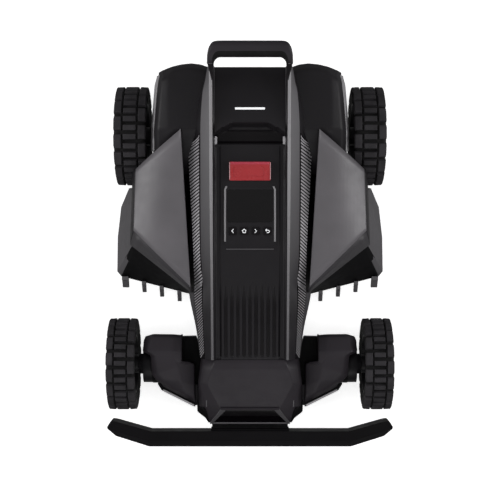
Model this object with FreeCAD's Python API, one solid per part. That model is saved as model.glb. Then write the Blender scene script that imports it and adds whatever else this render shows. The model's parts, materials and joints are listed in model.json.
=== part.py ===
"""Robotic lawn mower, millimetres. +Z up, front towards -Y, origin on the ground under the middle.

A four-wheel mower with a fixed chassis, a front axle that rocks about a fore-and-aft pin, two cutting
discs with swinging blades on a carriage that a lead screw raises, a sprung bumper, a stop bar and four keys.
"""
import FreeCAD, Part
import math
import os

V = FreeCAD.Vector
OUT = "parts"
os.makedirs(OUT, exist_ok=True)

# ---------------------------------------------------------------- driving dimensions
HALF_LENGTH = 389.0          # bumper face to the back of the handle is twice this
REAR_AXLE_Y = 231.0
FRONT_AXLE_Y = -223.5
REAR_R, REAR_TYRE_W, REAR_TRACK = 98.0, 63.0, 465.0
FRONT_R, FRONT_TYRE_W, FRONT_TRACK = 91.0, 56.0, 505.0
LUG_H = 7.0                  # height of a tread block
LUG_COUNT = 17               # blocks in each outer row, half as many as the bars of the centre row
LUG_GAP = 6.5                # slot between two blocks of a row
SKIN = 3.0                   # wall thickness of the moulded covers
AXLE_R = 6.0                 # fixed wheel axle
RUN_GAP = 0.05               # radial running clearance of a wheel on its axle
DISC_X, DISC_Y = 110.0, 34.0  # centres of the cutting discs
DISC_R = 80.0
BLADE_Z = 50.0               # cutting height at rest
BLADE_PIN_R = 70.0           # blade pivots on each disc
BLADES_PER_DISC = 3
CUT_UP, CUT_DOWN = 30.0, 25.0   # travel of the cutting carriage from rest
DECK_TOP = 130.0
CHAMBER_R = 112.0            # round the blade tips
SPINE_HALF = 66.5            # inner edge of the rails

# Stations of the spine: y, height of the top panel, crest of the rail, half-width of the shoulder under
# the rail, then half-width and height of the wall's lower edge
SPINE = [
    (348.0, 250.0, 299.0, 79.5, 84.0, 225.0),
    (318.0, 263.0, 294.0, 84.0, 90.0, 222.0),
    (300.0, 267.0, 291.0, 88.0, 95.0, 220.0),
    (249.0, 275.0, 283.0, 92.0, 113.0, 206.0),
    (205.0, 251.0, 274.0, 93.0, 119.0, 196.0),
    (5.0, 239.0, 247.0, 93.0, 116.0, 196.0),
    (-60.0, 227.0, 234.0, 89.5, 119.5, 152.0),
    (-90.0, 219.5, 226.0, 90.0, 116.5, 150.5),
    (-150.0, 204.0, 210.0, 88.5, 104.0, 150.5),
    (-208.0, 188.0, 193.0, 87.0, 96.0, 150.5),
]
SHOULDER_DROP = 30.0         # depth of the rail from its crest to the shoulder it stands on


# ---------------------------------------------------------------- helpers
def box(x0, x1, y0, y1, z0, z1):
    return Part.makeBox(x1 - x0, y1 - y0, z1 - z0, V(x0, y0, z0))


def tube_x(r, x0, x1, y, z):
    return Part.makeCylinder(r, x1 - x0, V(x0, y, z), V(1, 0, 0))


def tube_y(r, y0, y1, x, z):
    return Part.makeCylinder(r, y1 - y0, V(x, y0, z), V(0, 1, 0))


def tube_z(r, z0, z1, x, y):
    return Part.makeCylinder(r, z1 - z0, V(x, y, z0))


def mirrored(shape):
    return shape.mirror(V(0, 0, 0), V(1, 0, 0))


def closed_wire(points, radius=0.0):
    """A closed polygon through 3D points in one plane, its corners rounded where the sides allow it."""
    pts = [V(*p) for p in points]
    if radius <= 0:
        return Part.makePolygon(pts + [pts[0]])
    bends = [(pts[i - 1] - p).getAngle(pts[(i + 1) % len(pts)] - p) for i, p in enumerate(pts)]
    pts = [p for p, bend in zip(pts, bends) if bend < math.radians(179.5)]
    n = len(pts)
    ends = []
    for i, p in enumerate(pts):
        a, b = pts[i - 1] - p, pts[(i + 1) % n] - p
        half = a.getAngle(b) / 2
        cut = min(radius / math.tan(half), 0.45 * a.Length, 0.45 * b.Length)
        bulge = cut / math.cos(half) - cut * math.tan(half)
        a.normalize()
        b.normalize()
        bisector = (a + b).normalize()
        ends.append((p + a * cut, p + bisector * bulge, p + b * cut))
    edges = []
    for i in range(n):
        edges.append(Part.Arc(*ends[i]).toShape())
        edges.append(Part.LineSegment(ends[i][2], ends[(i + 1) % n][0]).toShape())
    return Part.Wire(edges)


def plan(points, z0, z1, radius=0.0):
    """A prism with its outline in plan."""
    face = Part.Face(closed_wire([(x, y, z0) for x, y in points], radius))
    return face.extrude(V(0, 0, z1 - z0))


def side(points, x0, x1, radius=0.0):
    """A prism with its outline in side view, (y, z)."""
    face = Part.Face(closed_wire([(x0, y, z) for y, z in points], radius))
    return face.extrude(V(x1 - x0, 0, 0))


def front(points, y0, y1, radius=0.0):
    """A prism with its outline in front view, (x, z)."""
    face = Part.Face(closed_wire([(x, y0, z) for x, z in points], radius))
    return face.extrude(V(0, y1 - y0, 0))


def loft(sections, smooth=False):
    return Part.makeLoft([closed_wire(s) for s in sections], True, not smooth)


def both_sides(points):
    """Right-hand outline points, from the centre outwards and round, completed by their mirror images."""
    return points + [(-x, y) for x, y in reversed(points) if x > 0]


def interpolate(y, column):
    """A value of the SPINE stations at y."""
    for a, b in zip(SPINE, SPINE[1:]):
        if b[0] <= y <= a[0]:
            t = (a[0] - y) / (a[0] - b[0])
            return a[column] + t * (b[column] - a[column])
    return SPINE[0][column] if y > SPINE[0][0] else SPINE[-1][column]


def shoulder_z(z_top, z_rail):
    """Height of the shoulder under the rail, always a little below the top panel."""
    return min(z_rail - SHOULDER_DROP, z_top - 4.0)


def solid_of(shape):
    """The shape as its largest solid, with seams between coplanar faces removed."""
    shape = shape.removeSplitter()
    return max(shape.Solids, key=lambda s: s.Volume)


def compound(*shapes):
    return Part.makeCompound([s for shape in shapes for s in shape.Solids])


nodes = {}


def keep(name, shape):
    for s in shape.Solids:
        if not s.isValid() or s.Volume <= 0:
            print("INVALID", name, s.Volume)
    nodes[name] = shape


# ---------------------------------------------------------------- wheels
def tyre(radius, width, centre_x, axle_y):
    """A block-tread tyre: a carcass, two staggered outer rows of blocks and short bars between them."""
    inner = radius - 32.0
    base = radius - LUG_H
    half = width / 2
    profile = [(-half + 3, inner), (half - 3, inner), (half, inner + 7), (half, base - 9), (half - 7, base),
               (-half + 7, base), (-half, base - 9), (-half, inner + 7)]
    carcass = Part.Face(closed_wire([(x, 0, z) for x, z in profile])).revolve(V(0, 0, 0), V(1, 0, 0), 360)
    crown = Part.makeCylinder(radius, width, V(-half, 0, 0), V(1, 0, 0))
    crown = crown.makeChamfer(4.5, [e for e in crown.Edges if len(e.Vertexes) == 1 and e.Length > 1])
    pitch = 360.0 / LUG_COUNT
    long_l = 2 * math.pi * radius / LUG_COUNT - LUG_GAP
    short_l = math.pi * radius / LUG_COUNT - LUG_GAP
    lugs = []
    for i in range(LUG_COUNT):
        for x0, x1, phase, length in (
            (-half + 0.6, -half * 0.50, 0.0, long_l), (half * 0.50, half - 0.6, 0.5, long_l),
            (-half * 0.42, half * 0.42, 0.25, short_l), (-half * 0.42, half * 0.42, 0.75, short_l),
        ):
            lug = box(x0, x1, -length / 2, length / 2, -radius - 1, -base + 2.5)
            lug.rotate(V(0, 0, 0), V(1, 0, 0), pitch * (i + phase))
            lugs.append(lug)
    blocks = crown.common(Part.makeCompound(lugs))
    shape = solid_of(carcass.multiFuse(blocks.Solids))
    shape.translate(V(centre_x, axle_y, radius))
    return shape


def rim(radius, width, track, axle_y, hub):
    """Right-hand wheel rim: barrel, six-window dish, hub with the axle bore, and a separate hub cap."""
    r_out = radius - 32.0
    x0, x1 = track / 2 - width / 2 + 3, track / 2 + width / 2 - 3
    hub0, hub1 = hub
    barrel = tube_x(r_out, x0, x1, 0, 0).cut(tube_x(r_out - 4.5, x0 - 1, x1 + 1, 0, 0))
    dish = tube_x(r_out - 4, x1 - 14, x1 - 8, 0, 0)
    windows = []
    for i in range(6):
        near, far = r_out * 0.42, r_out * 0.80
        window = plan([(near, -7), (far, -15), (far, 15), (near, 7)], 0, 30, 4)
        window.rotate(V(0, 0, 0), V(0, 1, 0), 90)
        window.translate(V(x1 - 25, 0, 0))
        window.rotate(V(0, 0, 0), V(1, 0, 0), 60 * i)
        windows.append(window)
    dish = dish.cut(Part.makeCompound(windows))
    body = barrel.multiFuse([dish, tube_x(18, hub0, hub1, 0, 0)])
    body = body.cut(tube_x(AXLE_R + RUN_GAP, hub0 - 1, x1 + 1, 0, 0))
    body = solid_of(body.cut(tube_x(12, hub1, x1 + 1, 0, 0)))
    cap = tube_x(19, hub1 + 0.5, x1 + 1, 0, 0).cut(tube_x(15.5, hub1, x1 - 2, 0, 0))
    cap = cap.fuse(tube_x(15.6, x1 - 2, x1 + 1, 0, 0)).removeSplitter()
    cap = cap.cut(body)
    shape = compound(body, cap)
    shape.translate(V(0, axle_y, radius))
    return shape


REAR_HUB = (199.0, 248.0)
FRONT_HUB = (222.0, 264.0)


def wheels():
    for end, radius, width, track, axle_y, hub in (
        ("rear", REAR_R, REAR_TYRE_W, REAR_TRACK, REAR_AXLE_Y, REAR_HUB),
        ("front", FRONT_R, FRONT_TYRE_W, FRONT_TRACK, FRONT_AXLE_Y, FRONT_HUB),
    ):
        right_tyre = tyre(radius, width, track / 2, axle_y)
        right_rim = rim(radius, width, track, axle_y, hub)
        keep(f"{end}_right_tyre", right_tyre)
        keep(f"{end}_left_tyre", mirrored(right_tyre))
        keep(f"{end}_right_rim", right_rim)
        keep(f"{end}_left_rim", mirrored(right_rim))


def gearmotor(axle_y, axle_z, can, can_r, flange_end, hub):
    """Wheel gearmotor on the right: can, flange, boss, fixed axle and the nut that holds the wheel."""
    hub0, hub1 = hub
    parts = [
        tube_x(can_r, can[0], can[1], axle_y, axle_z),
        tube_x(can_r + 4, can[1], flange_end, axle_y, axle_z),
        tube_x(20, flange_end, hub0 - 1, axle_y, axle_z),
        tube_x(AXLE_R, hub0 - 1, hub1 + 1, axle_y, axle_z),
        tube_x(9, hub1 + 1, hub1 + 5, axle_y, axle_z),
    ]
    return solid_of(parts[0].multiFuse(parts[1:]))


REAR_CAN = (92.0, 186.5)
REAR_CAN_R = 27.0
FRONT_CAN = (140.0, 194.0)
FRONT_CAN_R = 33.0


def gearmotors():
    rear = gearmotor(REAR_AXLE_Y, REAR_R, REAR_CAN, REAR_CAN_R, 190.0, REAR_HUB)
    keep("rear_gearmotors", compound(rear, mirrored(rear)))
    front_one = gearmotor(FRONT_AXLE_Y, FRONT_R, FRONT_CAN, FRONT_CAN_R, 212.0, FRONT_HUB)
    keep("front_gearmotors", compound(front_one, mirrored(front_one)))


# ---------------------------------------------------------------- spine, rails and side panels
def spine_solid(inset=0.0):
    """Spine as a closed solid. The inset shrinks it by that much on every side, for hollowing it."""
    reach = 60.0 if inset else 0.0
    sections = []
    for y, z_top, z_rail, shoulder, low_half, low_z in SPINE:
        z_sh = shoulder_z(z_top, z_rail)
        low = low_half + (low_half - shoulder) / (z_sh - low_z) * reach
        right = [(low - inset, low_z - reach), (shoulder - inset, z_sh - inset),
                 (SPINE_HALF - inset, z_sh - inset), (SPINE_HALF - inset, z_top - inset)]
        outline = right + [(-x, z) for x, z in reversed(right)]
        sections.append([(x, y - inset if y > 340 else y, z) for x, z in outline])
    return loft(sections)


def rail():
    """Right-hand rail: a bar of triangular section, its crest along the top panel, its face sloping out."""
    sections = []
    for y, z_top, z_rail, shoulder, _, _ in SPINE:
        low = shoulder_z(z_top, z_rail)
        inner, outer = SPINE_HALF + 0.2, shoulder + 0.8
        sections.append([(inner, y, low + 0.2), (inner, y, z_rail), (71.0, y, z_rail),
                         (outer, y, low + 3.0), (outer, y, low + 0.2)])
    return loft(sections)


def side_panel():
    """Right-hand textured panel on the spine's sloping wall, pointed at its rear end."""
    sections = []
    for y, share0, share1 in ((222.0, 0.05, 0.10), (196.0, 0.05, 0.80), (60.0, 0.06, 0.90),
                              (-60.0, 0.05, 0.52), (-90.0, 0.05, 0.80), (-150.0, 0.05, 0.90),
                              (-200.0, 0.05, 0.90)):
        z_sh = shoulder_z(interpolate(y, 1), interpolate(y, 2))
        shoulder = interpolate(y, 3)
        run, fall = interpolate(y, 4) - shoulder, z_sh - interpolate(y, 5)
        length = math.hypot(run, fall)
        nx, nz = fall / length, run / length
        corner = []
        for share, lift in ((share0, 0.2), (share1, 0.2), (share1, 2.4), (share0, 2.4)):
            corner.append((shoulder + run * share + nx * lift, y, z_sh - fall * share + nz * lift))
        sections.append(corner)
    return loft(sections)


RIB_COUNT = 10
RIB_PITCH = 11.6
RIB_W = 5.4


def panel_grooves():
    """Long grooves in the front of the top panel, running out to nothing towards the rear."""
    y_rear, y_front = -62.0, -200.0
    z_rear, z_front = interpolate(y_rear, 1), interpolate(y_front, 1)
    z_mid = interpolate(-90.0, 1)
    outline = [(y_rear, z_rear + 6), (y_rear, z_rear - 0.1), (-90.0, z_mid - 1.4), (y_front, z_front - 1.6),
               (y_front, z_front + 6)]
    grooves = []
    for i in range(RIB_COUNT):
        x = (i - (RIB_COUNT - 1) / 2) * RIB_PITCH
        grooves.append(side(outline, x - RIB_W / 2, x + RIB_W / 2))
    return Part.makeCompound(grooves)


# ---------------------------------------------------------------- controls on the top panel
PANEL_REAR, PANEL_FRONT = (205.0, 251.0), (5.0, 239.0)      # y and z of the panel's two ends
TILT = math.degrees(math.atan2(PANEL_REAR[1] - PANEL_FRONT[1], PANEL_REAR[0] - PANEL_FRONT[0]))


def panel_z(y):
    return PANEL_FRONT[1] + (y - PANEL_FRONT[0]) * math.tan(math.radians(TILT))


def on_panel(x0, x1, y0, y1, h0, h1, radius=0.0):
    """A block from h0 to h1 above the sloping control panel."""
    middle = (y0 + y1) / 2
    shape = plan([(x0, y0), (x1, y0), (x1, y1), (x0, y1)], h0, h1, radius)
    shape.rotate(V(0, middle, 0), V(1, 0, 0), TILT)
    shape.translate(V(0, 0, panel_z(middle)))
    return shape


STOP = dict(x=39.0, y0=135.0, y1=170.0)
BEZEL = dict(x=48.0, y0=12.0, y1=122.0)
KEY_X = (-33.0, -11.0, 11.0, 33.0)
KEY_NAMES = ("key_left", "key_home", "key_right", "key_back")
KEY_Y, KEY_HALF = 40.0, 8.0


def controls():
    bezel = on_panel(-BEZEL["x"], BEZEL["x"], BEZEL["y0"], BEZEL["y1"], -6.0, 1.5, 6)
    glass_well = on_panel(-43, 43, 56, 118, -1.5, 4, 4)
    k = KEY_HALF
    key_wells = [on_panel(x - k, x + k, KEY_Y - k, KEY_Y + k, -8, 4, 3) for x in KEY_X]
    keep("control_bezel", solid_of(bezel.cut(Part.makeCompound([glass_well] + key_wells))))
    keep("display_glass", on_panel(-42.8, 42.8, 56.2, 117.8, -1.5, 0.7, 4))
    for name, x in zip(KEY_NAMES, KEY_X):
        r = KEY_HALF - 0.4
        cap = on_panel(x - r, x + r, KEY_Y - r, KEY_Y + r, -4.0, 2.3, 2.6)
        keep(name, cap)
    s = STOP
    bar = on_panel(-s["x"], s["x"], s["y0"], s["y1"], -8.0, 9.0, 3)
    dip = on_panel(-s["x"] + 7, s["x"] - 13, s["y0"] + 7, s["y1"] - 8, 7.8, 12.0, 2)
    keep("stop_button", solid_of(bar.cut(dip)))
    return [
        on_panel(-BEZEL["x"], BEZEL["x"], BEZEL["y0"], BEZEL["y1"], -12, 8, 6),
        on_panel(-s["x"] - 0.8, s["x"] + 0.8, s["y0"] - 0.8, s["y1"] + 0.8, -20, 12, 3),
    ]


# ---------------------------------------------------------------- rear shell
def rear_shell_solid(inset=0.0):
    """Rear cover as a closed solid: side profile, cut in plan and in front view."""
    i = inset
    profile = [(361 - i, 60), (361 - i, 214), (348 - i * 0.6, 229 - i), (325, 232 - i), (235, 232 - i),
               (152 + i, 186 - i), (152 + i, 60)]
    body = side(profile, -200, 200)
    outline = [(0, 354 - i), (80, 354 - i), (94, 359 - i), (112, 361 - i), (132, 359 - i), (150, 355 - i),
               (179 - i, 345 - i), (189 - i, 240), (190 - i, 152 + i), (0, 152 + i)]
    body = body.common(plan(both_sides(outline), 0, 300, 8))
    arch = [(0, 232 - i), (105, 232 - i), (140, 231 - i), (168 - i, 224 - i), (180 - i, 208 - i),
            (190 - i, 150), (190 - i, 60)]
    return body.common(front(both_sides(arch), 100, 400))


# ---------------------------------------------------------------- wings
WING_IN_REAR, WING_OUT_REAR = (131.0, 233.0, 239.0), (220.0, 160.0, 190.0)
WING_OUT_FRONT, WING_IN_FRONT = (224.0, 41.0, 190.0), (112.0, -66.0, 206.0)


def in_plane(p, q, r, y, z):
    """The point at y, z in the plane through p, q and r."""
    n = (V(*q) - V(*p)).cross(V(*r) - V(*p))
    return p[0] - (n.y * (y - p[1]) + n.z * (z - p[2])) / n.x, y, z


def wing_solid(inset=0.0, drop=0.0):
    """Right wing as a ruled loft from its inner wall to its outer wall."""
    i = inset
    (ax, ay, az), (bx, by, bz) = WING_IN_REAR, WING_OUT_REAR
    (cx, cy, cz), (dx, dy, dz) = WING_OUT_FRONT, WING_IN_FRONT
    a, b = (ax + i, ay - 1.8 * i, az - i), (bx - i, by - 0.4 * i, bz - i)
    c, d = (cx - i, cy + 0.2 * i, cz - i), (dx + i, dy + 2.2 * i, dz - i)
    a_low = (a[0], a[1], 166 - drop)
    b_low = (b[0] + 10, b[1], 150.5 - drop)
    inner = [a, d, in_plane(a, d, a_low, d[1] - 14, 166 - drop), a_low]
    outer = [b, c, in_plane(b, c, b_low, c[1] - 27, 150.5 - drop), b_low]
    return loft([inner, outer])


def wing(neighbours):
    shell = wing_solid()
    edge_top = [e for e in shell.Edges if e.BoundBox.ZMin > 185 and e.BoundBox.XMin > 215]
    shell = shell.makeFillet(9.0, edge_top)
    shell = shell.cut(wing_solid(SKIN, 20))
    carriage_room = box(100, 156, -28, 96, 100, 199)
    for cutter in [tube_x(REAR_R + 9, 188, 320, REAR_AXLE_Y, REAR_R), carriage_room] + neighbours:
        shell = shell.cut(cutter)
    return solid_of(shell)


# ---------------------------------------------------------------- deck
DECK_BOTTOM = [(0, -92), (122, -86), (262, -50), (271, -40), (270, 30), (263, 92), (247, 130), (196, 130),
               (196, 152), (0, 152)]
DECK_CROWN = [(0, -74), (112, -76), (226, 8), (232, 14), (233, 60), (232, 100), (228, 128), (190, 128),
              (190, 150), (0, 150)]
DECK_LOW = 42.0


def deck_solid(inset=0.0):
    """The deck as a closed solid, drawn in about its middle by the inset for the room under it."""
    sections = []
    for points, z in ((DECK_BOTTOM, DECK_LOW - 0.5 * (inset > 0)), (DECK_CROWN, DECK_TOP - inset)):
        share_x, share_y = 1 - inset / 230, 1 - inset / 105
        sections.append([(x * share_x, 30 + (y - 30) * share_y, z) for x, y in both_sides(points)])
    return loft(sections)


def skirt():
    """Right outer skirt: the sloping flank of the deck, a panel with a small foot lip."""
    crown = [(226.5, 9), (232, 14), (233, 60), (232, 100), (228, 128), (222, 128), (226, 60)]
    foot = [(262.5, -50), (271, -40), (270, 30), (263, 92), (247, 130), (241, 130), (262, 30)]
    outer = loft([[(x, y, z) for x, y in points] for points, z in ((crown, DECK_TOP), (foot, DECK_LOW))])
    return outer.cut(wheel_arch())


def wheel_arch():
    return tube_x(REAR_R + 8, 188, 320, REAR_AXLE_Y, REAR_R)


def deck(skirts):
    room = [box(-60, 60, DISC_Y - 96, DISC_Y + 96, 0, DECK_TOP - 5)]
    for x in (-DISC_X, DISC_X):
        room.append(tube_z(CHAMBER_R, 0, DECK_TOP - 5, x, DISC_Y))
    room = room[0].multiFuse(room[1:]).common(deck_solid(5.0))
    shell = deck_solid().cut(room)
    for sign in (1, -1):
        shell = shell.cut(tube_z(31.0, 0, 200, sign * DISC_X, DISC_Y))
        pocket = plan([(236, 20), (248, 30), (244, 80), (232, 95), (228, 60)], 0, 118)
        shell = shell.cut(pocket if sign > 0 else mirrored(pocket))
    shell = shell.cut(tube_z(8.0, 0, 200, 0, DISC_Y))
    arch = wheel_arch()
    shell = shell.cut(arch).cut(mirrored(arch))
    for s in skirts:
        shell = shell.cut(s)
    return solid_of(shell)


def combs(deck_shape):
    """Comb guard on each side: a bar under the deck's front edge with teeth that point forward and down."""
    tooth_side = [(-2, 52), (-2, 40), (-21, 26), (-25, 27), (-25, 33), (-12, 45), (-9, 52)]
    pieces = []
    bar_pts = [(4, -91.5), (122, -85.5), (259, -50.4), (259, -43), (122, -78), (4, -84)]
    bar = plan(bar_pts, 34.0, DECK_LOW)
    teeth = []
    for k in range(7):
        x = 36.0 * (k + 1) + (2.0 if k == 6 else 0.0)
        edge_y = -91.5 + (x - 4) * 0.051 if x < 122 else -85.5 + (x - 122) * 0.256
        width = 8.0 if k < 6 else 13.0
        tooth = side([(edge_y + 4 + y, z) for y, z in tooth_side], x - width / 2, x + width / 2)
        teeth.append(tooth)
    comb = bar.multiFuse(teeth).removeSplitter()
    comb = comb.cut(deck_shape)
    pieces.append(comb)
    pieces.append(mirrored(comb))
    return compound(*pieces)


# ---------------------------------------------------------------- cutting carriage, discs and blades
CARRIAGE_Z = 160.0
LEAD_R = 5.0
ROD_X, ROD_R = 42.0, 5.0
FRAME_Z = 205.0              # underside of the height frame's top plate
BOSS_LOW = DECK_TOP + CUT_DOWN + 1.0    # clears the deck with the carriage right down
BOSS_HIGH = FRAME_Z - CUT_UP - 1.0      # clears the frame with the carriage right up


def cutting_parts():
    plate = plan([(-146, DISC_Y - 26), (-40, DISC_Y - 34), (40, DISC_Y - 34), (146, DISC_Y - 26),
                  (146, DISC_Y + 26), (40, DISC_Y + 34), (-40, DISC_Y + 34), (-146, DISC_Y + 26)],
                 CARRIAGE_Z, CARRIAGE_Z + 5, 8)
    bosses = [tube_z(10, BOSS_LOW, BOSS_HIGH, x, DISC_Y) for x in (-ROD_X, ROD_X)]
    nut = tube_z(11, BOSS_LOW, BOSS_HIGH - 2, 0, DISC_Y)
    carriage = plate.multiFuse(bosses + [nut])
    for x in (-ROD_X, ROD_X):
        carriage = carriage.cut(tube_z(ROD_R + 0.08, 0, 300, x, DISC_Y))
    carriage = carriage.cut(tube_z(LEAD_R + 0.4, 0, 300, 0, DISC_Y))
    keep("cutting_carriage", solid_of(carriage))
    motors = []
    for x in (-DISC_X, DISC_X):
        can = tube_z(28, CARRIAGE_Z - 58, CARRIAGE_Z, x, DISC_Y)
        shaft = tube_z(5, BLADE_Z - 3, CARRIAGE_Z - 58, x, DISC_Y)
        shoulder = tube_z(8, BLADE_Z + 17.4, BLADE_Z + 24, x, DISC_Y)
        nut_low = tube_z(9, BLADE_Z - 9, BLADE_Z - 3.4, x, DISC_Y)
        motors.append(solid_of(can.multiFuse([shaft, shoulder, nut_low])))
    keep("disc_motors", compound(*motors))
    for name, x in (("left_disc", -DISC_X), ("right_disc", DISC_X)):
        plate = tube_z(DISC_R, BLADE_Z, BLADE_Z + 3, 0, 0)
        cone = Part.makeCone(34, 22, 14, V(0, 0, BLADE_Z + 3))
        hub = tube_z(13, BLADE_Z - 3, BLADE_Z, 0, 0)
        body = plate.multiFuse([cone, hub])
        slots = []
        for i in range(6):
            slot = plan([(38, -6), (60, -10), (60, 10), (38, 6)], BLADE_Z - 1, BLADE_Z + 5, 4)
            slot.rotate(V(0, 0, 0), V(0, 0, 1), 60 * i + 30)
            slots.append(slot)
        body = body.cut(Part.makeCompound(slots)).cut(tube_z(5.05, 0, 300, 0, 0))
        screws = []
        for i in range(BLADES_PER_DISC):
            a = math.radians(360 / BLADES_PER_DISC * i + 90)
            px, py = BLADE_PIN_R * math.cos(a), BLADE_PIN_R * math.sin(a)
            pin = tube_z(3.0, BLADE_Z - 3.2, BLADE_Z, px, py)
            head = tube_z(5.5, BLADE_Z - 5.4, BLADE_Z - 3.2, px, py)
            screws.append(solid_of(pin.fuse(head)))
        disc = compound(solid_of(body), *screws)
        disc.translate(V(x, DISC_Y, 0))
        keep(name, disc)
        for i in range(BLADES_PER_DISC):
            angle = 360 / BLADES_PER_DISC * i + 90
            blade = plan([(-8, -8.5), (30, -8.5), (34.5, -5), (34.5, 5), (30, 8.5), (-8, 8.5)],
                         BLADE_Z - 2.2, BLADE_Z - 1.2, 2)
            blade = blade.cut(tube_z(3.08, 0, 100, 0, 0))
            blade.rotate(V(0, 0, 0), V(0, 0, 1), angle)
            a = math.radians(angle)
            blade.translate(V(x + BLADE_PIN_R * math.cos(a), DISC_Y + BLADE_PIN_R * math.sin(a), 0))
            keep(f"{name[:-5]}_blade_{i + 1}", blade)


def height_parts():
    """Height frame over the carriage with its guide rods, the lead screw and the motor that turns it."""
    legs = []
    for x in (-60, 60):
        for y in (DISC_Y - 47, DISC_Y + 47):
            legs.append(box(x - 6, x + 6, y - 5, y + 5, DECK_TOP, FRAME_Z))
    top = box(-66, 66, DISC_Y - 52, DISC_Y + 52, FRAME_Z, FRAME_Z + 4)
    frame = top.multiFuse(legs)
    frame = solid_of(frame.cut(tube_z(LEAD_R + 1, 0, 300, 0, DISC_Y)))
    rods = [tube_z(ROD_R, DECK_TOP, FRAME_Z, x, DISC_Y) for x in (-ROD_X, ROD_X)]
    keep("height_frame", compound(frame, *rods))
    screw = tube_z(LEAD_R, DECK_TOP + 0.5, FRAME_Z + 3.5, 0, DISC_Y)
    grooves = []
    for k in range(9):
        z = DECK_TOP + 3 + k * 8
        grooves.append(tube_z(LEAD_R + 1, z, z + 2, 0, DISC_Y).cut(tube_z(LEAD_R - 0.8, z, z + 2, 0, DISC_Y)))
    keep("lead_screw", solid_of(screw.cut(Part.makeCompound(grooves))))
    motor = tube_z(17, FRAME_Z + 4, FRAME_Z + 21, 0, DISC_Y)
    flange = box(-19, 19, DISC_Y - 19, DISC_Y + 19, FRAME_Z + 4, FRAME_Z + 7)
    keep("height_motor", solid_of(motor.fuse(flange)))


# ---------------------------------------------------------------- chassis: rear tub and front frame
NECK_HALF = 92.0
TUB_FRONT = 160.0            # the front frame's ring butts against the rear tub here
PIN_R = 7.0
PIN_Z = 91.0


def rear_tub():
    """Open-topped box that holds the battery and the rear gearmotors."""
    wall = 4.0
    inner_front = TUB_FRONT + wall
    shape = plan([(-181, 341), (181, 341), (187, TUB_FRONT), (-187, TUB_FRONT)], 66, 150, 10)
    shape = shape.cut(plan([(-177, 337), (177, 337), (183, inner_front), (-183, inner_front)], 66 + wall, 160, 7))
    for sign in (-1, 1):
        x0, x1 = sorted((sign * 150, sign * 200))
        shape = shape.cut(tube_x(REAR_CAN_R + 0.3, x0, x1, REAR_AXLE_Y, REAR_R))
    arch = wheel_arch()
    shape = shape.cut(arch).cut(mirrored(arch))
    return solid_of(shape.cut(box(-80, 80, 170, 330, 60, 68)))


def frame_outer():
    """Outside of the front frame: ring over the deck, neck, saddle over the axle and nose tray."""
    ring = [(112, -72), (226, 10), (231, 20), (231, 100), (226, 128), (187, 128), (187, TUB_FRONT)]
    shape = plan(both_sides(ring), DECK_TOP, 150)
    neck = plan([(98, -176), (113, -90), (116, -60), (-116, -60), (-113, -90), (-98, -176)], 62, 150)
    neck = neck.cut(box(-200, 200, -94, 0, 0, DECK_TOP))
    saddle = box(-NECK_HALF, NECK_HALF, -270, -170, 128, 150)
    tray = plan([(-105, -267), (-105, -318), (-78, -342), (78, -342), (105, -318), (105, -267)], 62, 112, 6)
    tray = tray.common(side([(-342, 62), (-342, 86), (-307, 112), (-267, 112), (-267, 62)], -120, 120))
    tray = tray.fuse(box(-NECK_HALF, NECK_HALF, -290, -267, 100, 140))
    return shape.multiFuse([neck, saddle, tray]).removeSplitter()


def frame_pockets():
    ring = [(114, -60), (222, 14), (227, 22), (227, 98), (222, 124), (183, 124), (183, TUB_FRONT - 4)]
    neck = [(0, -172), (94, -172), (109, -92), (112, -60), (112, -50), (0, -50)]
    return Part.makeCompound([
        plan(both_sides(ring), DECK_TOP + 3, 160),
        box(-152, 152, DISC_Y - 62, DISC_Y + 62, DECK_TOP - 1, 160),
        plan(both_sides(neck), DECK_TOP + 3, 160),
        plan([(94, -172), (108, -98), (-108, -98), (-94, -172)], 66, 140),
        box(-NECK_HALF + 4, NECK_HALF - 4, -262, -160, 132, 160),
        plan([(-99, -275), (-99, -315), (-75, -337), (75, -337), (99, -315), (99, -275)], 66, 120, 4),
        box(-NECK_HALF + 4, NECK_HALF - 4, -285, -275, 98, 160),
    ])


def front_frame():
    shape = frame_outer().cut(frame_pockets())
    shape = shape.cut(tube_y(PIN_R, -276, -166, 0, PIN_Z))
    for x in (-50, 50):
        shape = shape.cut(box(x - 11, x + 11, -350, -330, 69.5, 84.5))
    arch = wheel_arch()
    return solid_of(shape.cut(arch).cut(mirrored(arch)))


# ---------------------------------------------------------------- nose and window
def nose_solid(inset=0.0):
    i = inset
    drop = 40.0 if inset else 0.0

    def section(y, mid_half, mid_z, top_half, top_z, low_half, low_z):
        pts = [(low_half - i, low_z - drop), (mid_half - i, mid_z - i), (top_half - i, top_z - i)]
        return [(x, y, z) for x, z in pts + [(-x, z) for x, z in reversed(pts)]]

    return loft([
        section(-208.2 - i, 90, 163, 68, 189, 96, 150.5),
        section(-256, 98, 155, 84, 170, 102, 145),
        section(-300, 88, 138, 62, 152.5, 101, 118),
        section(-307 + i * 0.3, 86, 132, 59, 149, 101, 112.5),
        section(-341 + i, 82, 96, 79, 98, 83, 86.0),
    ])


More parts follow.
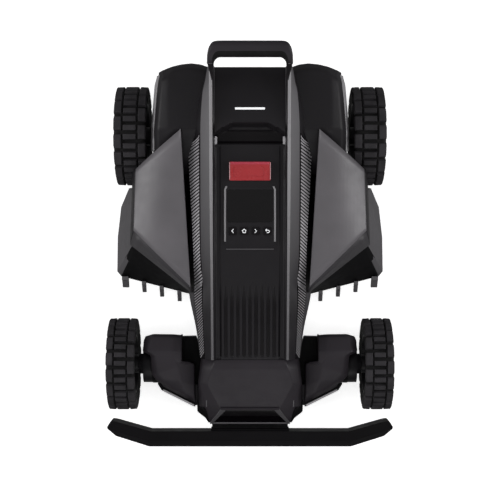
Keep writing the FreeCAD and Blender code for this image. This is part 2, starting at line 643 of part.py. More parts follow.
def nose_parts():
    cowl = nose_solid()
    cowl = cowl.cut(nose_solid(SKIN))
    window = loft([
        [(-46, -307.5, 151.5), (46, -307.5, 151.5), (46, -305.2, 144.0), (-46, -305.2, 144.0)],
        [(-73, -340.6, 99.6), (73, -340.6, 99.6), (73, -338.6, 92.0), (-73, -338.6, 92.0)],
    ])
    window.translate(V(0, 0.9, 0))
    well = window.copy()
    well.translate(V(0, -2.2, 1.5))
    cowl = cowl.cut(window).cut(well)
    cowl = cowl.cut(loft([
        [(-40, -306, 152), (40, -306, 152), (40, -296, 138), (-40, -296, 138)],
        [(-66, -336, 104), (66, -336, 104), (66, -326, 90), (-66, -326, 90)],
    ]))
    cams = []
    for x in (-30.0, 30.0):
        body = tube_y(9, 0, 10, 0, 0).fuse(box(-13, 13, 10, 13, -13, 13))
        body.rotate(V(0, 0, 0), V(1, 0, 0), -20)
        body.translate(V(x, -311, 118))
        cams.append(solid_of(body))
    return cowl, window, compound(*cams)


# ---------------------------------------------------------------- front axle
def front_axle():
    beam_plan = [(0, -264), (109, -264), (109, -290), (184, -257), (194, -243), (194, -170), (108, -168),
                 (102, -184), (0, -184)]
    beam = plan(both_sides(beam_plan), 76, 108)
    boss = tube_y(16, -264, -184, 0, PIN_Z)
    beam = beam.fuse(boss).cut(tube_y(PIN_R + RUN_GAP, -300, -150, 0, PIN_Z))
    for sign in (-1, 1):
        x0, x1 = sorted((sign * FRONT_CAN[0], sign * FRONT_CAN[1]))
        sleeve = tube_x(FRONT_CAN_R + 5, x0 + 2 * (sign > 0), x1 - 2 * (sign < 0), FRONT_AXLE_Y, FRONT_R)
        lip = plan([(109, -308), (176, -275), (184, -262), (178, -254), (109, -288)], 96, 108)
        beam = beam.multiFuse([sleeve, lip if sign > 0 else mirrored(lip)])
        beam = beam.cut(tube_x(FRONT_CAN_R, x0, x1, FRONT_AXLE_Y, FRONT_R))
    keep("front_beam", solid_of(beam))

    def cover(i):
        drop = 30.0 if i else 0.0
        low = 108.3 - drop
        rise = [(100 + i, low), (212 - i, low), (212 - i, 146 - i), (200 - i * 0.5, 160 - i), (150, 166 - i),
                (122 + i * 0.5, 156 - i), (109 + i, 134 - i), (100 + i, 131 - i)]
        profile = [(-161 - i, low), (-161 - i, 138 - i * 0.4), (-167 - i * 0.7, 147 - i), (-194, 163 - i),
                   (-246, 153 - i), (-302 + i, 127 - i), (-306 + i, low)]
        outline = [(134 + i, -163.5 - i), (198 - i, -161 - i), (208 - i, -166 - i), (212 - i, -176 - i),
                   (212 - i, -194 + i),
                   (195 - i, -203 + i), (195 - i, -240), (184 - i, -264 + i * 0.5), (109 + i, -306 + i * 1.2),
                   (109 + i, -218 - i), (134 + i, -218 - i)]
        return side(profile, 90, 230).common(plan(outline, 60, 200)).common(front(rise, -320, -150))

    shell = cover(0).cut(cover(SKIN))
    shell = shell.cut(tube_x(FRONT_CAN_R + 4, 190, 214, FRONT_AXLE_Y, FRONT_R))
    shell = shell.cut(tube_x(FRONT_CAN_R + 5, 130, 194, FRONT_AXLE_Y, FRONT_R))
    right = solid_of(shell)
    keep("right_arm_cover", right)
    keep("left_arm_cover", mirrored(right))
    pin = tube_y(PIN_R, -276, -166, 0, PIN_Z)
    keep("axle_pivot_pin", pin)


# ---------------------------------------------------------------- bumper
def bumper():
    """Bar of bevelled section with swept, chamfered ends, and the bracket that slides in the nose."""
    outline = [(0, -HALF_LENGTH), (202, -HALF_LENGTH), (268, -368), (286, -350), (277, -336), (266, -338),
               (198, -357), (0, -357)]
    bar = plan(both_sides(outline), 58, 106, 5)
    top_cut = [(-HALF_LENGTH - 5, 90), (-372, 110), (-HALF_LENGTH - 5, 110)]
    low_cut = [(-HALF_LENGTH - 5, 76), (-374, 54), (-HALF_LENGTH - 5, 54)]
    for bevel in (top_cut, low_cut):
        bar = bar.cut(side(bevel, -220, 220))
    for z0, z1 in ((92, 108), (72, 54)):
        wedge = loft([[(198, -392, z0), (198, -376, z1), (198, -392, z1)],
                      [(292, -364, z0), (292, -348, z1), (292, -364, z1)]])
        bar = bar.cut(wedge).cut(mirrored(wedge))
    bar = solid_of(bar)
    keep("bumper_bar", bar)
    plate = plan([(-78, -357), (78, -357), (78, -353), (-78, -353)], 64, 100)
    arms = [box(sign * 50 - 9, sign * 50 + 9, -353, -318, 71.0, 83.0) for sign in (-1, 1)]
    keep("bumper_bracket", solid_of(plate.multiFuse(arms)))


# ---------------------------------------------------------------- handle
def handle():
    """Carry handle: a U-shaped bow that continues the rails and stands clear of the rear shell."""
    outer = plan([(-79, 348.2), (-76.5, HALF_LENGTH), (76.5, HALF_LENGTH), (79, 348.2)], 200, 340, 18)
    outer = outer.common(box(-100, 100, 348.2, 400, 200, 340))
    lead = box(-79, -66.7, 348.2, 360, 200, 340).fuse(box(66.7, 79, 348.2, 360, 200, 340))
    inner = plan([(-66.7, 330), (-65, 361), (65, 361), (66.7, 330)], 190, 350, 8)
    profile = [(348.2, 285.2), (348.2, 299), (364, 312), (380, 318), (HALF_LENGTH, 313), (HALF_LENGTH, 300),
               (376, 290), (362, 289)]
    band = side(profile, -100, 100)
    return solid_of(outer.fuse(lead).cut(inner).common(band))


# ---------------------------------------------------------------- inside the covers
def inside():
    battery = box(-78, 78, 172, 328, 70.5, 132)
    keep("battery_pack", battery.makeFillet(4, battery.Edges))
    cover = plan([(-88, 162), (88, 162), (88, 336), (-88, 336)], 62.5, 66, 6)
    keep("battery_cover", solid_of(cover.fuse(box(-79, 79, 171, 329, 66, 67.8))))
    board = box(-52, 52, -40, 120, 213.5, 215.5).cut(box(-22, 22, DISC_Y - 22, DISC_Y + 22, 200, 230))
    chips = []
    for x0, x1, y0, y1, top in ((-40, -20, 70, 95, 219), (10, 38, -30, -5, 221), (26, 44, 80, 104, 223)):
        chips.append(box(x0, x1, y0, y1, 215.5, top))
    keep("main_board", solid_of(board.multiFuse(chips)))
    puck = tube_z(38, 232, 240, 0, 284).fuse(box(-22, 22, 262, 306, 240, 248))
    keep("gnss_antenna", solid_of(puck))
    pads = []
    for sign in (-1, 1):
        pad = box(sign * 24 - 8, sign * 24 + 8, 354, 356.5, 122, 150)
        pads.append(pad)
    keep("charging_contacts", compound(*pads))


SCREW_SPOTS = [(170, 330), (172, 172), (84, -165), (96, -100)]


def cover_screws():
    """Socket screws driven up into the tub's floor from below, four on each side."""
    screws = []
    for x, y in SCREW_SPOTS + [(-x, y) for x, y in SCREW_SPOTS]:
        low = 66.0 if y > 0 else 62.0
        head = tube_z(5, low - 3, low, x, y)
        corners = [math.radians(60 * k) for k in range(6)]
        hex_hole = plan([(x + 2.4 * math.cos(a), y + 2.4 * math.sin(a)) for a in corners], low - 4, low - 1.2)
        screws.append(solid_of(head.cut(hex_hole)))
    return compound(*screws)


# ---------------------------------------------------------------- assemble
def main():
    wheels()
    gearmotors()
    cutting_parts()
    height_parts()
    wells = controls()
    inside()
    rear_solid = rear_shell_solid()
    spine_outer = spine_solid()
    strip = box(-28, 28, 266, 270, 255, 290)
    spine = spine_outer.cut(spine_solid(SKIN)).cut(panel_grooves())
    for cutter in wells + [rear_solid, strip]:
        spine = spine.cut(cutter)
    spine = solid_of(spine)
    keep("status_light", solid_of(strip.common(spine_outer).cut(spine_solid(SKIN + 1))))
    keep("spine_cover", spine)
    right_rail = rail().cut(spine_outer)
    keep("right_rail", solid_of(right_rail))
    keep("left_rail", mirrored(nodes["right_rail"]))
    panel = side_panel()
    panel = solid_of(panel.cut(rear_solid).cut(nodes["right_rail"]).cut(spine_outer))
    keep("right_side_panel", panel)
    keep("left_side_panel", mirrored(panel))
    keep("right_wing", wing([rear_solid, spine_outer]))
    keep("left_wing", mirrored(nodes["right_wing"]))
    shell = rear_solid.cut(rear_shell_solid(SKIN)).cut(wing_solid()).cut(mirrored(wing_solid()))
    shell = shell.cut(box(-300, 300, 100, 341.1, 0, 150.2)).cut(box(-300, 300, 300, 400, 0, 96))
    keep("rear_shell", solid_of(shell))
    right_skirt = solid_of(skirt())
    keep("side_skirts", compound(right_skirt, mirrored(right_skirt)))
    keep("deck_shroud", deck(nodes["side_skirts"].Solids))
    keep("comb_guards", combs(nodes["deck_shroud"]))
    cowl, window, cams = nose_parts()
    keep("chassis_tub", rear_tub())
    keep("front_frame", front_frame())
    keep("nose_cowl", solid_of(cowl.cut(frame_outer())))
    keep("nose_window", window)
    keep("camera_modules", cams)
    front_axle()
    bumper()
    keep("handle_bow", handle())
    keep("cover_screws", cover_screws())
    for name, shape in nodes.items():
        shape.exportStep(f"{OUT}/{name}.step")
    print(len(nodes), "nodes")


main()
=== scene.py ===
"""Looks of the robotic lawn mower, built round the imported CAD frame. Metres, +Z up, front towards -Y."""
import json
import math

import bmesh
import bpy
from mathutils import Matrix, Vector


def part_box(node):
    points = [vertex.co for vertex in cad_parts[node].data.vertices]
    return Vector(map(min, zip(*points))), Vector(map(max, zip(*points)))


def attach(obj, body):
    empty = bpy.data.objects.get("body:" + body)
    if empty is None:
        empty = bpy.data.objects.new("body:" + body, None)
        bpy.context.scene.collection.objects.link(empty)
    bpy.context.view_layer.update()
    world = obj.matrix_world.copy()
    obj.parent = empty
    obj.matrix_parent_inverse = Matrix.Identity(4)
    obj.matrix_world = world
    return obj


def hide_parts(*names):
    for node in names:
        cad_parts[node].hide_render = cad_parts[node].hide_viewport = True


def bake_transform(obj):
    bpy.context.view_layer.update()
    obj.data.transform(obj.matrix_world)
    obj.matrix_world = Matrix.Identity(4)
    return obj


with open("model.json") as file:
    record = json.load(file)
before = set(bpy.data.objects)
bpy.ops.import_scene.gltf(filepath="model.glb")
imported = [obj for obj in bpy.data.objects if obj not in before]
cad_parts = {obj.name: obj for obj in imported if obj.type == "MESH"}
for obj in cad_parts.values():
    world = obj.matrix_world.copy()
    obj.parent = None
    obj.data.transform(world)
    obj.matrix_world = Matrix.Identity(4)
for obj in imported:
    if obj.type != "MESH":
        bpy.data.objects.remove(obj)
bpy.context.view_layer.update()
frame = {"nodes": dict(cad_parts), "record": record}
nodes = frame["nodes"]

MM = 0.001


# ---------------------------------------------------------------- materials
def srgb(r, g, b):
    """A colour given as 0-255 screen values, in linear light."""
    def linear(c):
        return c / 255 / 12.92 if c <= 10 else ((c / 255 + 0.055) / 1.055) ** 2.4

    return (linear(r), linear(g), linear(b), 1.0)


class Nodes:
    """Short calls for building one material's node tree."""

    def __init__(self, name):
        self.material = bpy.data.materials.new(name)
        self.material.use_nodes = True
        self.tree = self.material.node_tree
        self.shader = self.tree.nodes["Principled BSDF"]
        self.place = self.add("ShaderNodeTexCoord").outputs["Object"]

    def add(self, kind, **settings):
        node = self.tree.nodes.new(kind)
        for key, value in settings.items():
            setattr(node, key, value)
        return node

    def link(self, output, socket):
        self.tree.links.new(output, socket)

    def noise(self, scale, detail=3.0, stretch=(1, 1, 1)):
        mapping = self.add("ShaderNodeMapping")
        mapping.inputs["Scale"].default_value = stretch
        self.link(self.place, mapping.inputs["Vector"])
        noise = self.add("ShaderNodeTexNoise")
        noise.inputs["Scale"].default_value = scale
        noise.inputs["Detail"].default_value = detail
        self.link(mapping.outputs["Vector"], noise.inputs["Vector"])
        return noise.outputs["Fac"]

    def spread(self, factor, low, high):
        """A 0-1 factor spread between two numbers."""
        node = self.add("ShaderNodeMapRange")
        node.inputs["To Min"].default_value = low
        node.inputs["To Max"].default_value = high
        node.inputs["From Min"].default_value = 0.3
        node.inputs["From Max"].default_value = 0.7
        self.link(factor, node.inputs["Value"])
        return node.outputs["Result"]

    def mix(self, factor, dark, light):
        ramp = self.add("ShaderNodeValToRGB")
        ramp.color_ramp.elements[0].position = 0.32
        ramp.color_ramp.elements[1].position = 0.68
        ramp.color_ramp.elements[0].color = dark
        ramp.color_ramp.elements[1].color = light
        self.link(factor, ramp.inputs["Fac"])
        return ramp.outputs["Color"]

    def bump(self, height, distance, strength=1.0, base=None):
        node = self.add("ShaderNodeBump")
        node.inputs["Distance"].default_value = distance
        node.inputs["Strength"].default_value = strength
        self.link(height, node.inputs["Height"])
        if base:
            self.link(base, node.inputs["Normal"])
        return node.outputs["Normal"]


def shade(colour, factor):
    return tuple(min(1.0, c * factor) for c in colour[:3]) + (1.0,)


def plastic(name, colour, rough=0.45, grain=0.00004, grain_scale=1500, vary=0.12, specular=0.5, coat=0.0):
    """Moulded plastic: fine spark-eroded grain, a slow drift in colour and sheen."""
    n = Nodes(name)
    drift = n.noise(9.0, 4.0)
    n.link(n.mix(drift, shade(colour, 1 - vary), shade(colour, 1 + vary)), n.shader.inputs["Base Color"])
    n.link(n.spread(n.noise(60.0, 5.0), rough - 0.06, rough + 0.06), n.shader.inputs["Roughness"])
    n.link(n.bump(n.noise(grain_scale, 2.0), grain), n.shader.inputs["Normal"])
    n.shader.inputs["Specular IOR Level"].default_value = specular
    n.shader.inputs["Coat Weight"].default_value = coat
    n.shader.inputs["Coat Roughness"].default_value = 0.08
    return n.material


def painted_fade(name, front, rear, y_front, y_rear, rough=0.38):
    """Satin plastic painted from a dark front to a lighter rear: painted shade in front, painted light
    behind.
    """
    n = Nodes(name)
    split = n.add("ShaderNodeSeparateXYZ")
    n.link(n.place, split.inputs["Vector"])
    run = n.add("ShaderNodeMapRange")
    run.inputs["From Min"].default_value = y_front
    run.inputs["From Max"].default_value = y_rear
    n.link(split.outputs["Y"], run.inputs["Value"])
    grain = n.add("ShaderNodeMath", operation="MULTIPLY_ADD")
    grain.inputs[1].default_value = 0.16
    n.link(n.noise(14.0, 4.0), grain.inputs[0])
    n.link(run.outputs["Result"], grain.inputs[2])
    ramp = n.add("ShaderNodeValToRGB")
    ramp.color_ramp.elements[0].position = 0.06
    ramp.color_ramp.elements[0].color = front
    ramp.color_ramp.elements[1].position = 1.06
    ramp.color_ramp.elements[1].color = rear
    n.link(grain.outputs["Value"], ramp.inputs["Fac"])
    n.link(ramp.outputs["Color"], n.shader.inputs["Base Color"])
    n.link(n.spread(n.noise(60.0, 5.0), rough - 0.06, rough + 0.06), n.shader.inputs["Roughness"])
    n.link(n.bump(n.noise(1500, 2.0), 0.00004), n.shader.inputs["Normal"])
    return n.material


def metal(name, colour, rough=0.35, stretch=(1, 1, 1), vary=0.10):
    """Machined or cast metal with fine tool marks along the stretched direction."""
    n = Nodes(name)
    marks = n.noise(400.0, 4.0, stretch)
    n.link(n.mix(marks, shade(colour, 1 - vary), shade(colour, 1 + vary)), n.shader.inputs["Base Color"])
    n.link(n.spread(marks, rough - 0.08, rough + 0.10), n.shader.inputs["Roughness"])
    n.link(n.bump(marks, 0.00003), n.shader.inputs["Normal"])
    n.shader.inputs["Metallic"].default_value = 1.0
    return n.material


def rubber(name, colour):
    """Tyre rubber: matt, a little dusty on its high spots, with a fine pitted skin."""
    n = Nodes(name)
    dust = n.noise(35.0, 6.0)
    n.link(n.mix(dust, shade(colour, 0.8), shade(colour, 1.35)), n.shader.inputs["Base Color"])
    n.link(n.spread(n.noise(120.0, 4.0), 0.62, 0.82), n.shader.inputs["Roughness"])
    skin = n.bump(n.noise(900.0, 3.0), 0.00008)
    n.link(n.bump(n.noise(140.0, 3.0), 0.00025, 0.6, skin), n.shader.inputs["Normal"])
    n.shader.inputs["Specular IOR Level"].default_value = 0.35
    return n.material


def glow(name, colour, strength):
    """A light diffuser, faintly uneven like the real moulded bar."""
    n = Nodes(name)
    uneven = n.noise(180.0, 2.0)
    n.link(n.mix(uneven, shade(colour, 0.9), colour), n.shader.inputs["Base Color"])
    n.link(n.mix(uneven, shade(colour, 0.85), colour), n.shader.inputs["Emission Color"])
    n.shader.inputs["Emission Strength"].default_value = strength
    n.shader.inputs["Roughness"].default_value = 0.35
    return n.material


MATERIALS = {
    "black_shell": plastic("black_shell", srgb(36, 34, 37), 0.46, specular=0.3),
    "dark_shell": plastic("dark_shell", srgb(49, 45, 50), 0.48, specular=0.35),
    "grey_shell": plastic("grey_shell", srgb(114, 111, 115), 0.40),
    "skirt_grey": plastic("skirt_grey", srgb(86, 84, 87), 0.48),
    # rail_grey: grey plastic painted darker towards the front, painted shade where the rail face turns from
    # the light.
    "rail_grey": painted_fade("rail_grey", srgb(40, 38, 41), srgb(112, 110, 113), -0.12, 0.27),
    "carbon_trim": plastic("carbon_trim", srgb(190, 187, 191), 0.34),
    "comb_grey": plastic("comb_grey", srgb(106, 104, 107), 0.5),
    "gloss_black": plastic("gloss_black", srgb(11, 8, 11), 0.10, grain=0.0, coat=0.35),
    "stop_red": plastic("stop_red", srgb(192, 48, 54), 0.28, coat=0.5),
    # Lighter copies of the stop red: painted highlights on the stop bar's rear ledge and its ends.
    "stop_red_highlight": plastic("stop_red_highlight", srgb(205, 66, 86), 0.25, coat=0.5),
    "stop_red_glint": plastic("stop_red_glint", srgb(222, 170, 176), 0.25, coat=0.5),
    "key_black": plastic("key_black", srgb(22, 19, 22), 0.34, specular=0.3),
    "tyre": rubber("tyre", srgb(50, 48, 51)),
    "rim_black": plastic("rim_black", srgb(24, 23, 26), 0.42, specular=0.3),
    "inner_plastic": plastic("inner_plastic", srgb(12, 11, 13), 0.6, specular=0.15),
    "motor_metal": metal("motor_metal", srgb(120, 121, 124), 0.4, (1, 12, 12)),
    "steel": metal("steel", srgb(168, 168, 172), 0.28, (12, 12, 1)),
    "disc_plate": plastic("disc_plate", srgb(38, 38, 41), 0.3),
    "blade_steel": metal("blade_steel", srgb(190, 190, 193), 0.22, (1, 14, 1)),
    "battery": plastic("battery", srgb(64, 67, 72), 0.5),
    "board": plastic("board", srgb(22, 84, 54), 0.3),
    "contact": metal("contact", srgb(205, 170, 96), 0.25),
    "light": glow("light", srgb(236, 238, 240), 0.8),
    "bumper_black": plastic("bumper_black", srgb(12, 10, 13), 0.5, specular=0.2),
    "cast_beam": plastic("cast_beam", srgb(12, 11, 13), 0.5, grain=0.00012, grain_scale=500, specular=0.2),
    # crest: pale grey, lighter towards the rear; a painted highlight on the rail crests and the rear cover's
    # sides.
    "crest": painted_fade("crest", srgb(104, 102, 105), srgb(166, 164, 167), -0.20, 0.20, 0.30),
    # groove: near-black rubber for the bumper boot, and painted shade on the tyre carcass and the handle's
    # inner side.
    "groove": rubber("groove", srgb(16, 15, 16)),
    "band": plastic("band", srgb(66, 64, 67), 0.46, specular=0.35),
    "seal": rubber("seal", srgb(34, 32, 35)),
}


def dress(obj, slot):
    """The named material on every face."""
    obj.data.materials.clear()
    obj.data.materials.append(MATERIALS[slot])


def dress_cad_nodes():
    """Every CAD node takes its slot's material, joined faces and lightly rounded edges."""
    for part in frame["record"]["subparts"]:
        obj = nodes[part["node"]]
        dress(obj, part["material_slot"])
        weld = obj.modifiers.new("weld", "WELD")
        weld.merge_threshold = 0.00002
        bevel = obj.modifiers.new("round", "BEVEL")
        bevel.width = 0.0008
        bevel.segments = 2
        bevel.limit_method = "ANGLE"
        bevel.angle_limit = math.radians(32)
        bevel.use_clamp_overlap = True


# ---------------------------------------------------------------- building pieces
def piece(name, verts, faces, body, slot, replaces=(), smooth=35.0, finish=None):
    """A mesh piece that rides on a body, takes a slot's material or a finish, and may stand for CAD nodes."""
    mesh = bpy.data.meshes.new(name)
    bm = bmesh.new()
    made = [bm.verts.new(v) for v in verts]
    for face in faces:
        bm.faces.new([made[i] for i in face])
    bmesh.ops.remove_doubles(bm, verts=bm.verts, dist=0.00002)
    bmesh.ops.recalc_face_normals(bm, faces=bm.faces)
    for face in bm.faces:
        face.smooth = True
    bm.to_mesh(mesh)
    bm.free()
    mesh.set_sharp_from_angle(angle=math.radians(smooth))
    obj = bpy.data.objects.new(name, mesh)
    bpy.context.scene.collection.objects.link(obj)
    dress(obj, finish or slot)
    if body:
        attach(obj, body)
    if replaces:
        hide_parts(*replaces)
    return obj


def rounded(obj, width, segments=3, angle=30.0):
    """Rounds every edge sharper than the angle."""
    bevel = obj.modifiers.new("round", "BEVEL")
    bevel.width = width
    bevel.segments = segments
    bevel.limit_method = "ANGLE"
    bevel.angle_limit = math.radians(angle)
    bevel.use_clamp_overlap = True
    return obj


class Shape:
    """Collects points and faces of a piece made of several closed forms."""

    def __init__(self):
        self.verts = []
        self.faces = []

    def grid(self, rows, close_u=False, close_v=False):
        """Faces between rows of points. Each row has the same number of points."""
        base = len(self.verts)
        count, width = len(rows), len(rows[0])
        for row in rows:
            self.verts.extend(row)
        for i in range(count if close_v else count - 1):
            for j in range(width if close_u else width - 1):
                a = base + i * width + j
                b = base + i * width + (j + 1) % width
                c = base + ((i + 1) % count) * width + (j + 1) % width
                d = base + ((i + 1) % count) * width + j
                self.faces.append((a, b, c, d))
        return base

    def cap(self, base, width, row):
        """One face over a closed row of a grid."""
        self.faces.append(tuple(base + row * width + j for j in range(width)))

    def loft(self, rows):
        """A closed form: rings of points with a face over each end."""
        base = self.grid(rows, close_u=True)
        self.cap(base, len(rows[0]), 0)
        self.cap(base, len(rows[0]), len(rows) - 1)

    def revolve(self, profile, centre, steps):
        """A closed profile of (x, radius) turned about an axis along X through the centre."""
        cx, cy, cz = centre
        rows = []
        for k in range(steps):
            a = 2 * math.pi * k / steps
            rows.append([(cx + x, cy + r * math.sin(a), cz - r * math.cos(a)) for x, r in profile])
        self.grid(rows, close_u=True, close_v=True)


def lofted_trim(name, rings, body, slot, finish, width):
    """A small closed strip through rings of points in metres, shown in a finish, with rounded edges."""
    shape = Shape()
    shape.loft(rings)
    return rounded(piece(name, shape.verts, shape.faces, body, slot, finish=finish), width, 2)


# ---------------------------------------------------------------- tyres
def lug(shape, centre, x_low, x_high, angle, length, base_r, top_r, half):
    """One tread block: a tapered, crowned block."""
    cx, cy, cz = centre
    across, along = 4, 5
    rings = []
    for r, taper in ((base_r, 1.0), (top_r - 1.6 * MM, 0.93), (top_r, 0.86)):
        ring = []
        middle = (x_low + x_high) / 2
        steps = [(i / across, 0) for i in range(across)] + [(1, j / along) for j in range(along)]
        steps += [(1 - i / across, 1) for i in range(across)] + [(0, 1 - j / along) for j in range(along)]
        for u, v in steps:
            x = middle + (x_low + (x_high - x_low) * u - middle) * taper
            a = angle + (v - 0.5) * length * taper / top_r
            crown = 2.4 * MM * max(0.0, abs(x) / half - 0.35) ** 2 if r > base_r else 0.0
            ring.append((cx + x, cy + (r - crown) * math.sin(a), cz - (r - crown) * math.cos(a)))
        rings.append(ring)
    shape.loft(rings)


def tyre(name, node, body, lugs=17):
    """A block-tread tyre: ringed sidewalls, staggered long outer blocks and short bars between them."""
    low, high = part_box(node)
    centre = ((low.x + high.x) / 2, (low.y + high.y) / 2, (high.y - low.y) / 2 + low.z)
    radius = (high.y - low.y) / 2 + 0.02 * MM
    half = (high.x - low.x) / 2
    inner, base = radius - 32 * MM, radius - 7 * MM
    shape = Shape()
    # The sidewall: share of the half-width, then mm out from the inner edge.
    wall = [
        (0.90, 0.0), (0.955, 1.2), (0.965, 5.0), (0.925, 6.4), (0.93, 8.2), (0.985, 9.8),
        (1.0, 13.0), (0.985, 16.4), (0.93, 18.6), (0.925, 20.0), (0.955, 21.0), (0.95, 22.6),
        (0.86, 24.6), (0.70, 25.0), (0.35, 25.3), (0.0, 25.4),
    ]
    right = [(half * u, inner + t * MM) for u, t in wall]
    left = [(-x, r) for x, r in reversed(right[:-1])]
    shape.revolve(right + left + [(-half * 0.45, inner), (half * 0.45, inner)], centre, 140)
    # The carcass, seen between the tread blocks and on the sidewalls, is painted near black as painted shade.
    rounded(piece(name + "_carcass", shape.verts, shape.faces, body, "tyre", smooth=38.0, finish="groove"),
            0.7 * MM, 2, 40.0)
    shape = Shape()
    pitch = 2 * math.pi / lugs
    step = pitch * radius
    slot = 6.5 * MM
    # One pitch of the tread: from and to in shares of the half-width, place in the pitch, length.
    blocks = (
        (-0.985, -0.50, 0.0, step - slot),
        (0.50, 0.985, 0.5, step - slot),
        (-0.43, 0.43, 0.25, step / 2 - slot),
        (-0.43, 0.43, 0.75, step / 2 - slot),
    )
    for i in range(lugs):
        for x_low, x_high, phase, length in blocks:
            lug(shape, centre, x_low * half, x_high * half, (i + phase) * pitch, length, base - 2 * MM,
                radius, half)
        for sign, phase in ((-1, 0.0), (1, 0.5)):
            a = (i + phase) * pitch
            rings = []
            for out, wide in ((0.93, 1.0), (1.0, 0.8)):
                ring = []
                for r, w, turns in ((base - 9 * MM, 0.34, (-1, 1)), (base + 0.5 * MM, 0.46, (1, -1))):
                    for turn in turns:
                        t = a + turn * w * wide * (step - slot) / r
                        ring.append((centre[0] + sign * half * out, centre[1] + r * math.sin(t),
                                     centre[2] - r * math.cos(t)))
                rings.append(ring)
            shape.loft(rings)
    obj = piece(name, shape.verts, shape.faces, body, "tyre", [node], smooth=38.0)
    return rounded(obj, 0.7 * MM, 2, 40.0)


# ---------------------------------------------------------------- moulded covers
# Stations of the spine in mm: y, top panel, rail crest, half-width of the shoulder, then half-width and
# height of the wall's lower edge. They are the frame's own, so the covers lie where the CAD covers do.
SPINE = [
    (348.0, 250.0, 299.0, 79.5, 84.0, 225.0), (318.0, 263.0, 294.0, 84.0, 90.0, 222.0),
    (300.0, 267.0, 291.0, 88.0, 95.0, 220.0), (249.0, 275.0, 283.0, 92.0, 113.0, 206.0),
    (205.0, 251.0, 274.0, 93.0, 119.0, 196.0), (5.0, 239.0, 247.0, 93.0, 116.0, 196.0),
    (-60.0, 227.0, 234.0, 89.5, 119.5, 152.0), (-90.0, 219.5, 226.0, 90.0, 116.5, 150.5),
    (-150.0, 204.0, 210.0, 88.5, 104.0, 150.5), (-208.0, 188.0, 193.0, 87.0, 96.0, 150.5),
]
SPINE_HALF = 66.5
DECK_TOP = 150.5     # mm, where the covers meet the deck


def smooth_step(t):
    t = max(0.0, min(1.0, t))
    return t * t * (3 - 2 * t)


def between(y, column):
    """A smooth curve through one column of the spine's stations."""
    rows = sorted(SPINE)
    y = max(rows[0][0], min(rows[-1][0], y))
    k = max(i for i in range(len(rows) - 1) if rows[i][0] <= y)

    def slope(i):
        a, b = rows[max(i - 1, 0)], rows[min(i + 1, len(rows) - 1)]
        return (b[column] - a[column]) / (b[0] - a[0])

    a, b = rows[k], rows[k + 1]
    h = b[0] - a[0]
    t = (y - a[0]) / h
    return ((2 * t ** 3 - 3 * t ** 2 + 1) * a[column] + (t ** 3 - 2 * t ** 2 + t) * h * slope(k)
            + (3 * t ** 2 - 2 * t ** 3) * b[column] + (t ** 3 - t ** 2) * h * slope(k + 1))


def shoulder_z(y):
    return min(between(y, 2) - 30.0, between(y, 1) - 4.0)


def soften(points, radius, steps=4):
    """A line through the points, each corner rounded by a curve that starts the radius away from it."""
    points = [Vector(p) for p in points]
    line = [points[0]]
    for before, corner, after in zip(points, points[1:], points[2:]):
        a, b = before - corner, after - corner
        start = corner + a * min(0.48, radius / max(a.length, 1e-6))
        end = corner + b * min(0.48, radius / max(b.length, 1e-6))
        for k in range(steps + 1):
            t = k / steps
            line.append(start * (1 - t) ** 2 + corner * 2 * t * (1 - t) + end * t ** 2)
    line.append(points[-1])
    return line


def skin(name, rows, body, slot, replaces=(), across=3.0, along=3.0, thick=2.5, smooth=40.0, finish=None):
    """A moulded cover: a net of points in mm, softened both ways, with a wall of the given thickness."""
    rows = [soften(row, across) for row in rows]
    columns = [soften(column, along) for column in zip(*rows)]
    rows = [[p * MM for p in row] for row in zip(*columns)]
    shape = Shape()
    shape.grid(rows)
    obj = piece(name, shape.verts, shape.faces, body, slot, replaces, smooth, finish)
    return walled(obj, thick)


def walled(obj, thick):
    """Gives an open sheet a wall of the given thickness in mm."""
    wall = obj.modifiers.new("wall", "SOLIDIFY")
    wall.thickness = thick * MM
    wall.offset = -1.0
    return obj


def both(build):
    """Runs a builder for the right side and, mirrored, for the left."""
    for side, sign in (("right", 1), ("left", -1)):
        build(side, sign)


def flip(rows, sign):
    return [[(sign * x, y, z) for x, y, z in row] for row in rows]


def recess_edge(x):
    """Where the lip of the hand recess lies, in mm: straight in the middle, swept forward at its ends."""
    return 235.0 - 8.0 * smooth_step((abs(x) - 32) / 18) - 9.5 * smooth_step((abs(x) - 49) / 17)


RIB_PITCH = 11.6


def panel_plane(y):
    """Height in mm of the plain slope that carries the controls."""
    return 239.0 + (y - 5.0) * 0.06


def panel_height(x, y):
    """Height of the spine's top panel in mm, with the hand recess, the side channels and the ribs."""
    if y >= 196:
        floor = panel_plane(min(y, 249)) - 13.0 * smooth_step((y - 202.0) / 7.0)
        high = 274.0 - 24.0 * ((max(y, 236) - 236) / 112.0) ** 1.6
        z = high + (floor - high) * (1 - smooth_step((y - recess_edge(x)) / 7.0))
    elif y >= 5:
        z = panel_plane(y)
    else:
        z = between(y, 1)
    z -= 0.8 * (abs(x) / SPINE_HALF) ** 4
    if y < 200:
        z -= 1.5 * smooth_step((abs(x) - 55.0) / 2.5) * smooth_step((65.5 - abs(x)) / 2.5)
    if y < -40 and abs(x) < 5 * RIB_PITCH:
        wave = 0.5 - 0.5 * math.cos(2 * math.pi * (x / RIB_PITCH + 0.5))
        depth = 3.0 * smooth_step((-48 - y) / 60) * smooth_step((y + 203.0) / 3.0)
        z -= depth * smooth_step((wave - 0.28) / 0.30)
    if abs(y - 4.0) < 2.2 and abs(x) < 46:
        z -= 0.9 * (1 - abs(y - 4.0) / 2.2)
    return z


def rib_groove_shade():
    """Painted shade: dark strips in the bottom of the grooves, narrow where the grooves begin."""
    shape = Shape()
    for i in range(9):
        x = (i - 4) * RIB_PITCH
        rings = []
        for k in range(47):
            y = -64 - 2.95 * k
            half = 0.6 + 2.1 * smooth_step((-64 - y) / 45)
            z = panel_height(x, y)
            low, high = z - 0.4, z + 0.25
            rings.append([(px * MM, y * MM, pz * MM) for px, pz in
                          ((x - half, low), (x + half, low), (x + half, high), (x - half, high))])
        shape.loft(rings)
    piece("rib_groove_shade", shape.verts, shape.faces, "chassis", "key_black", smooth=50.0)


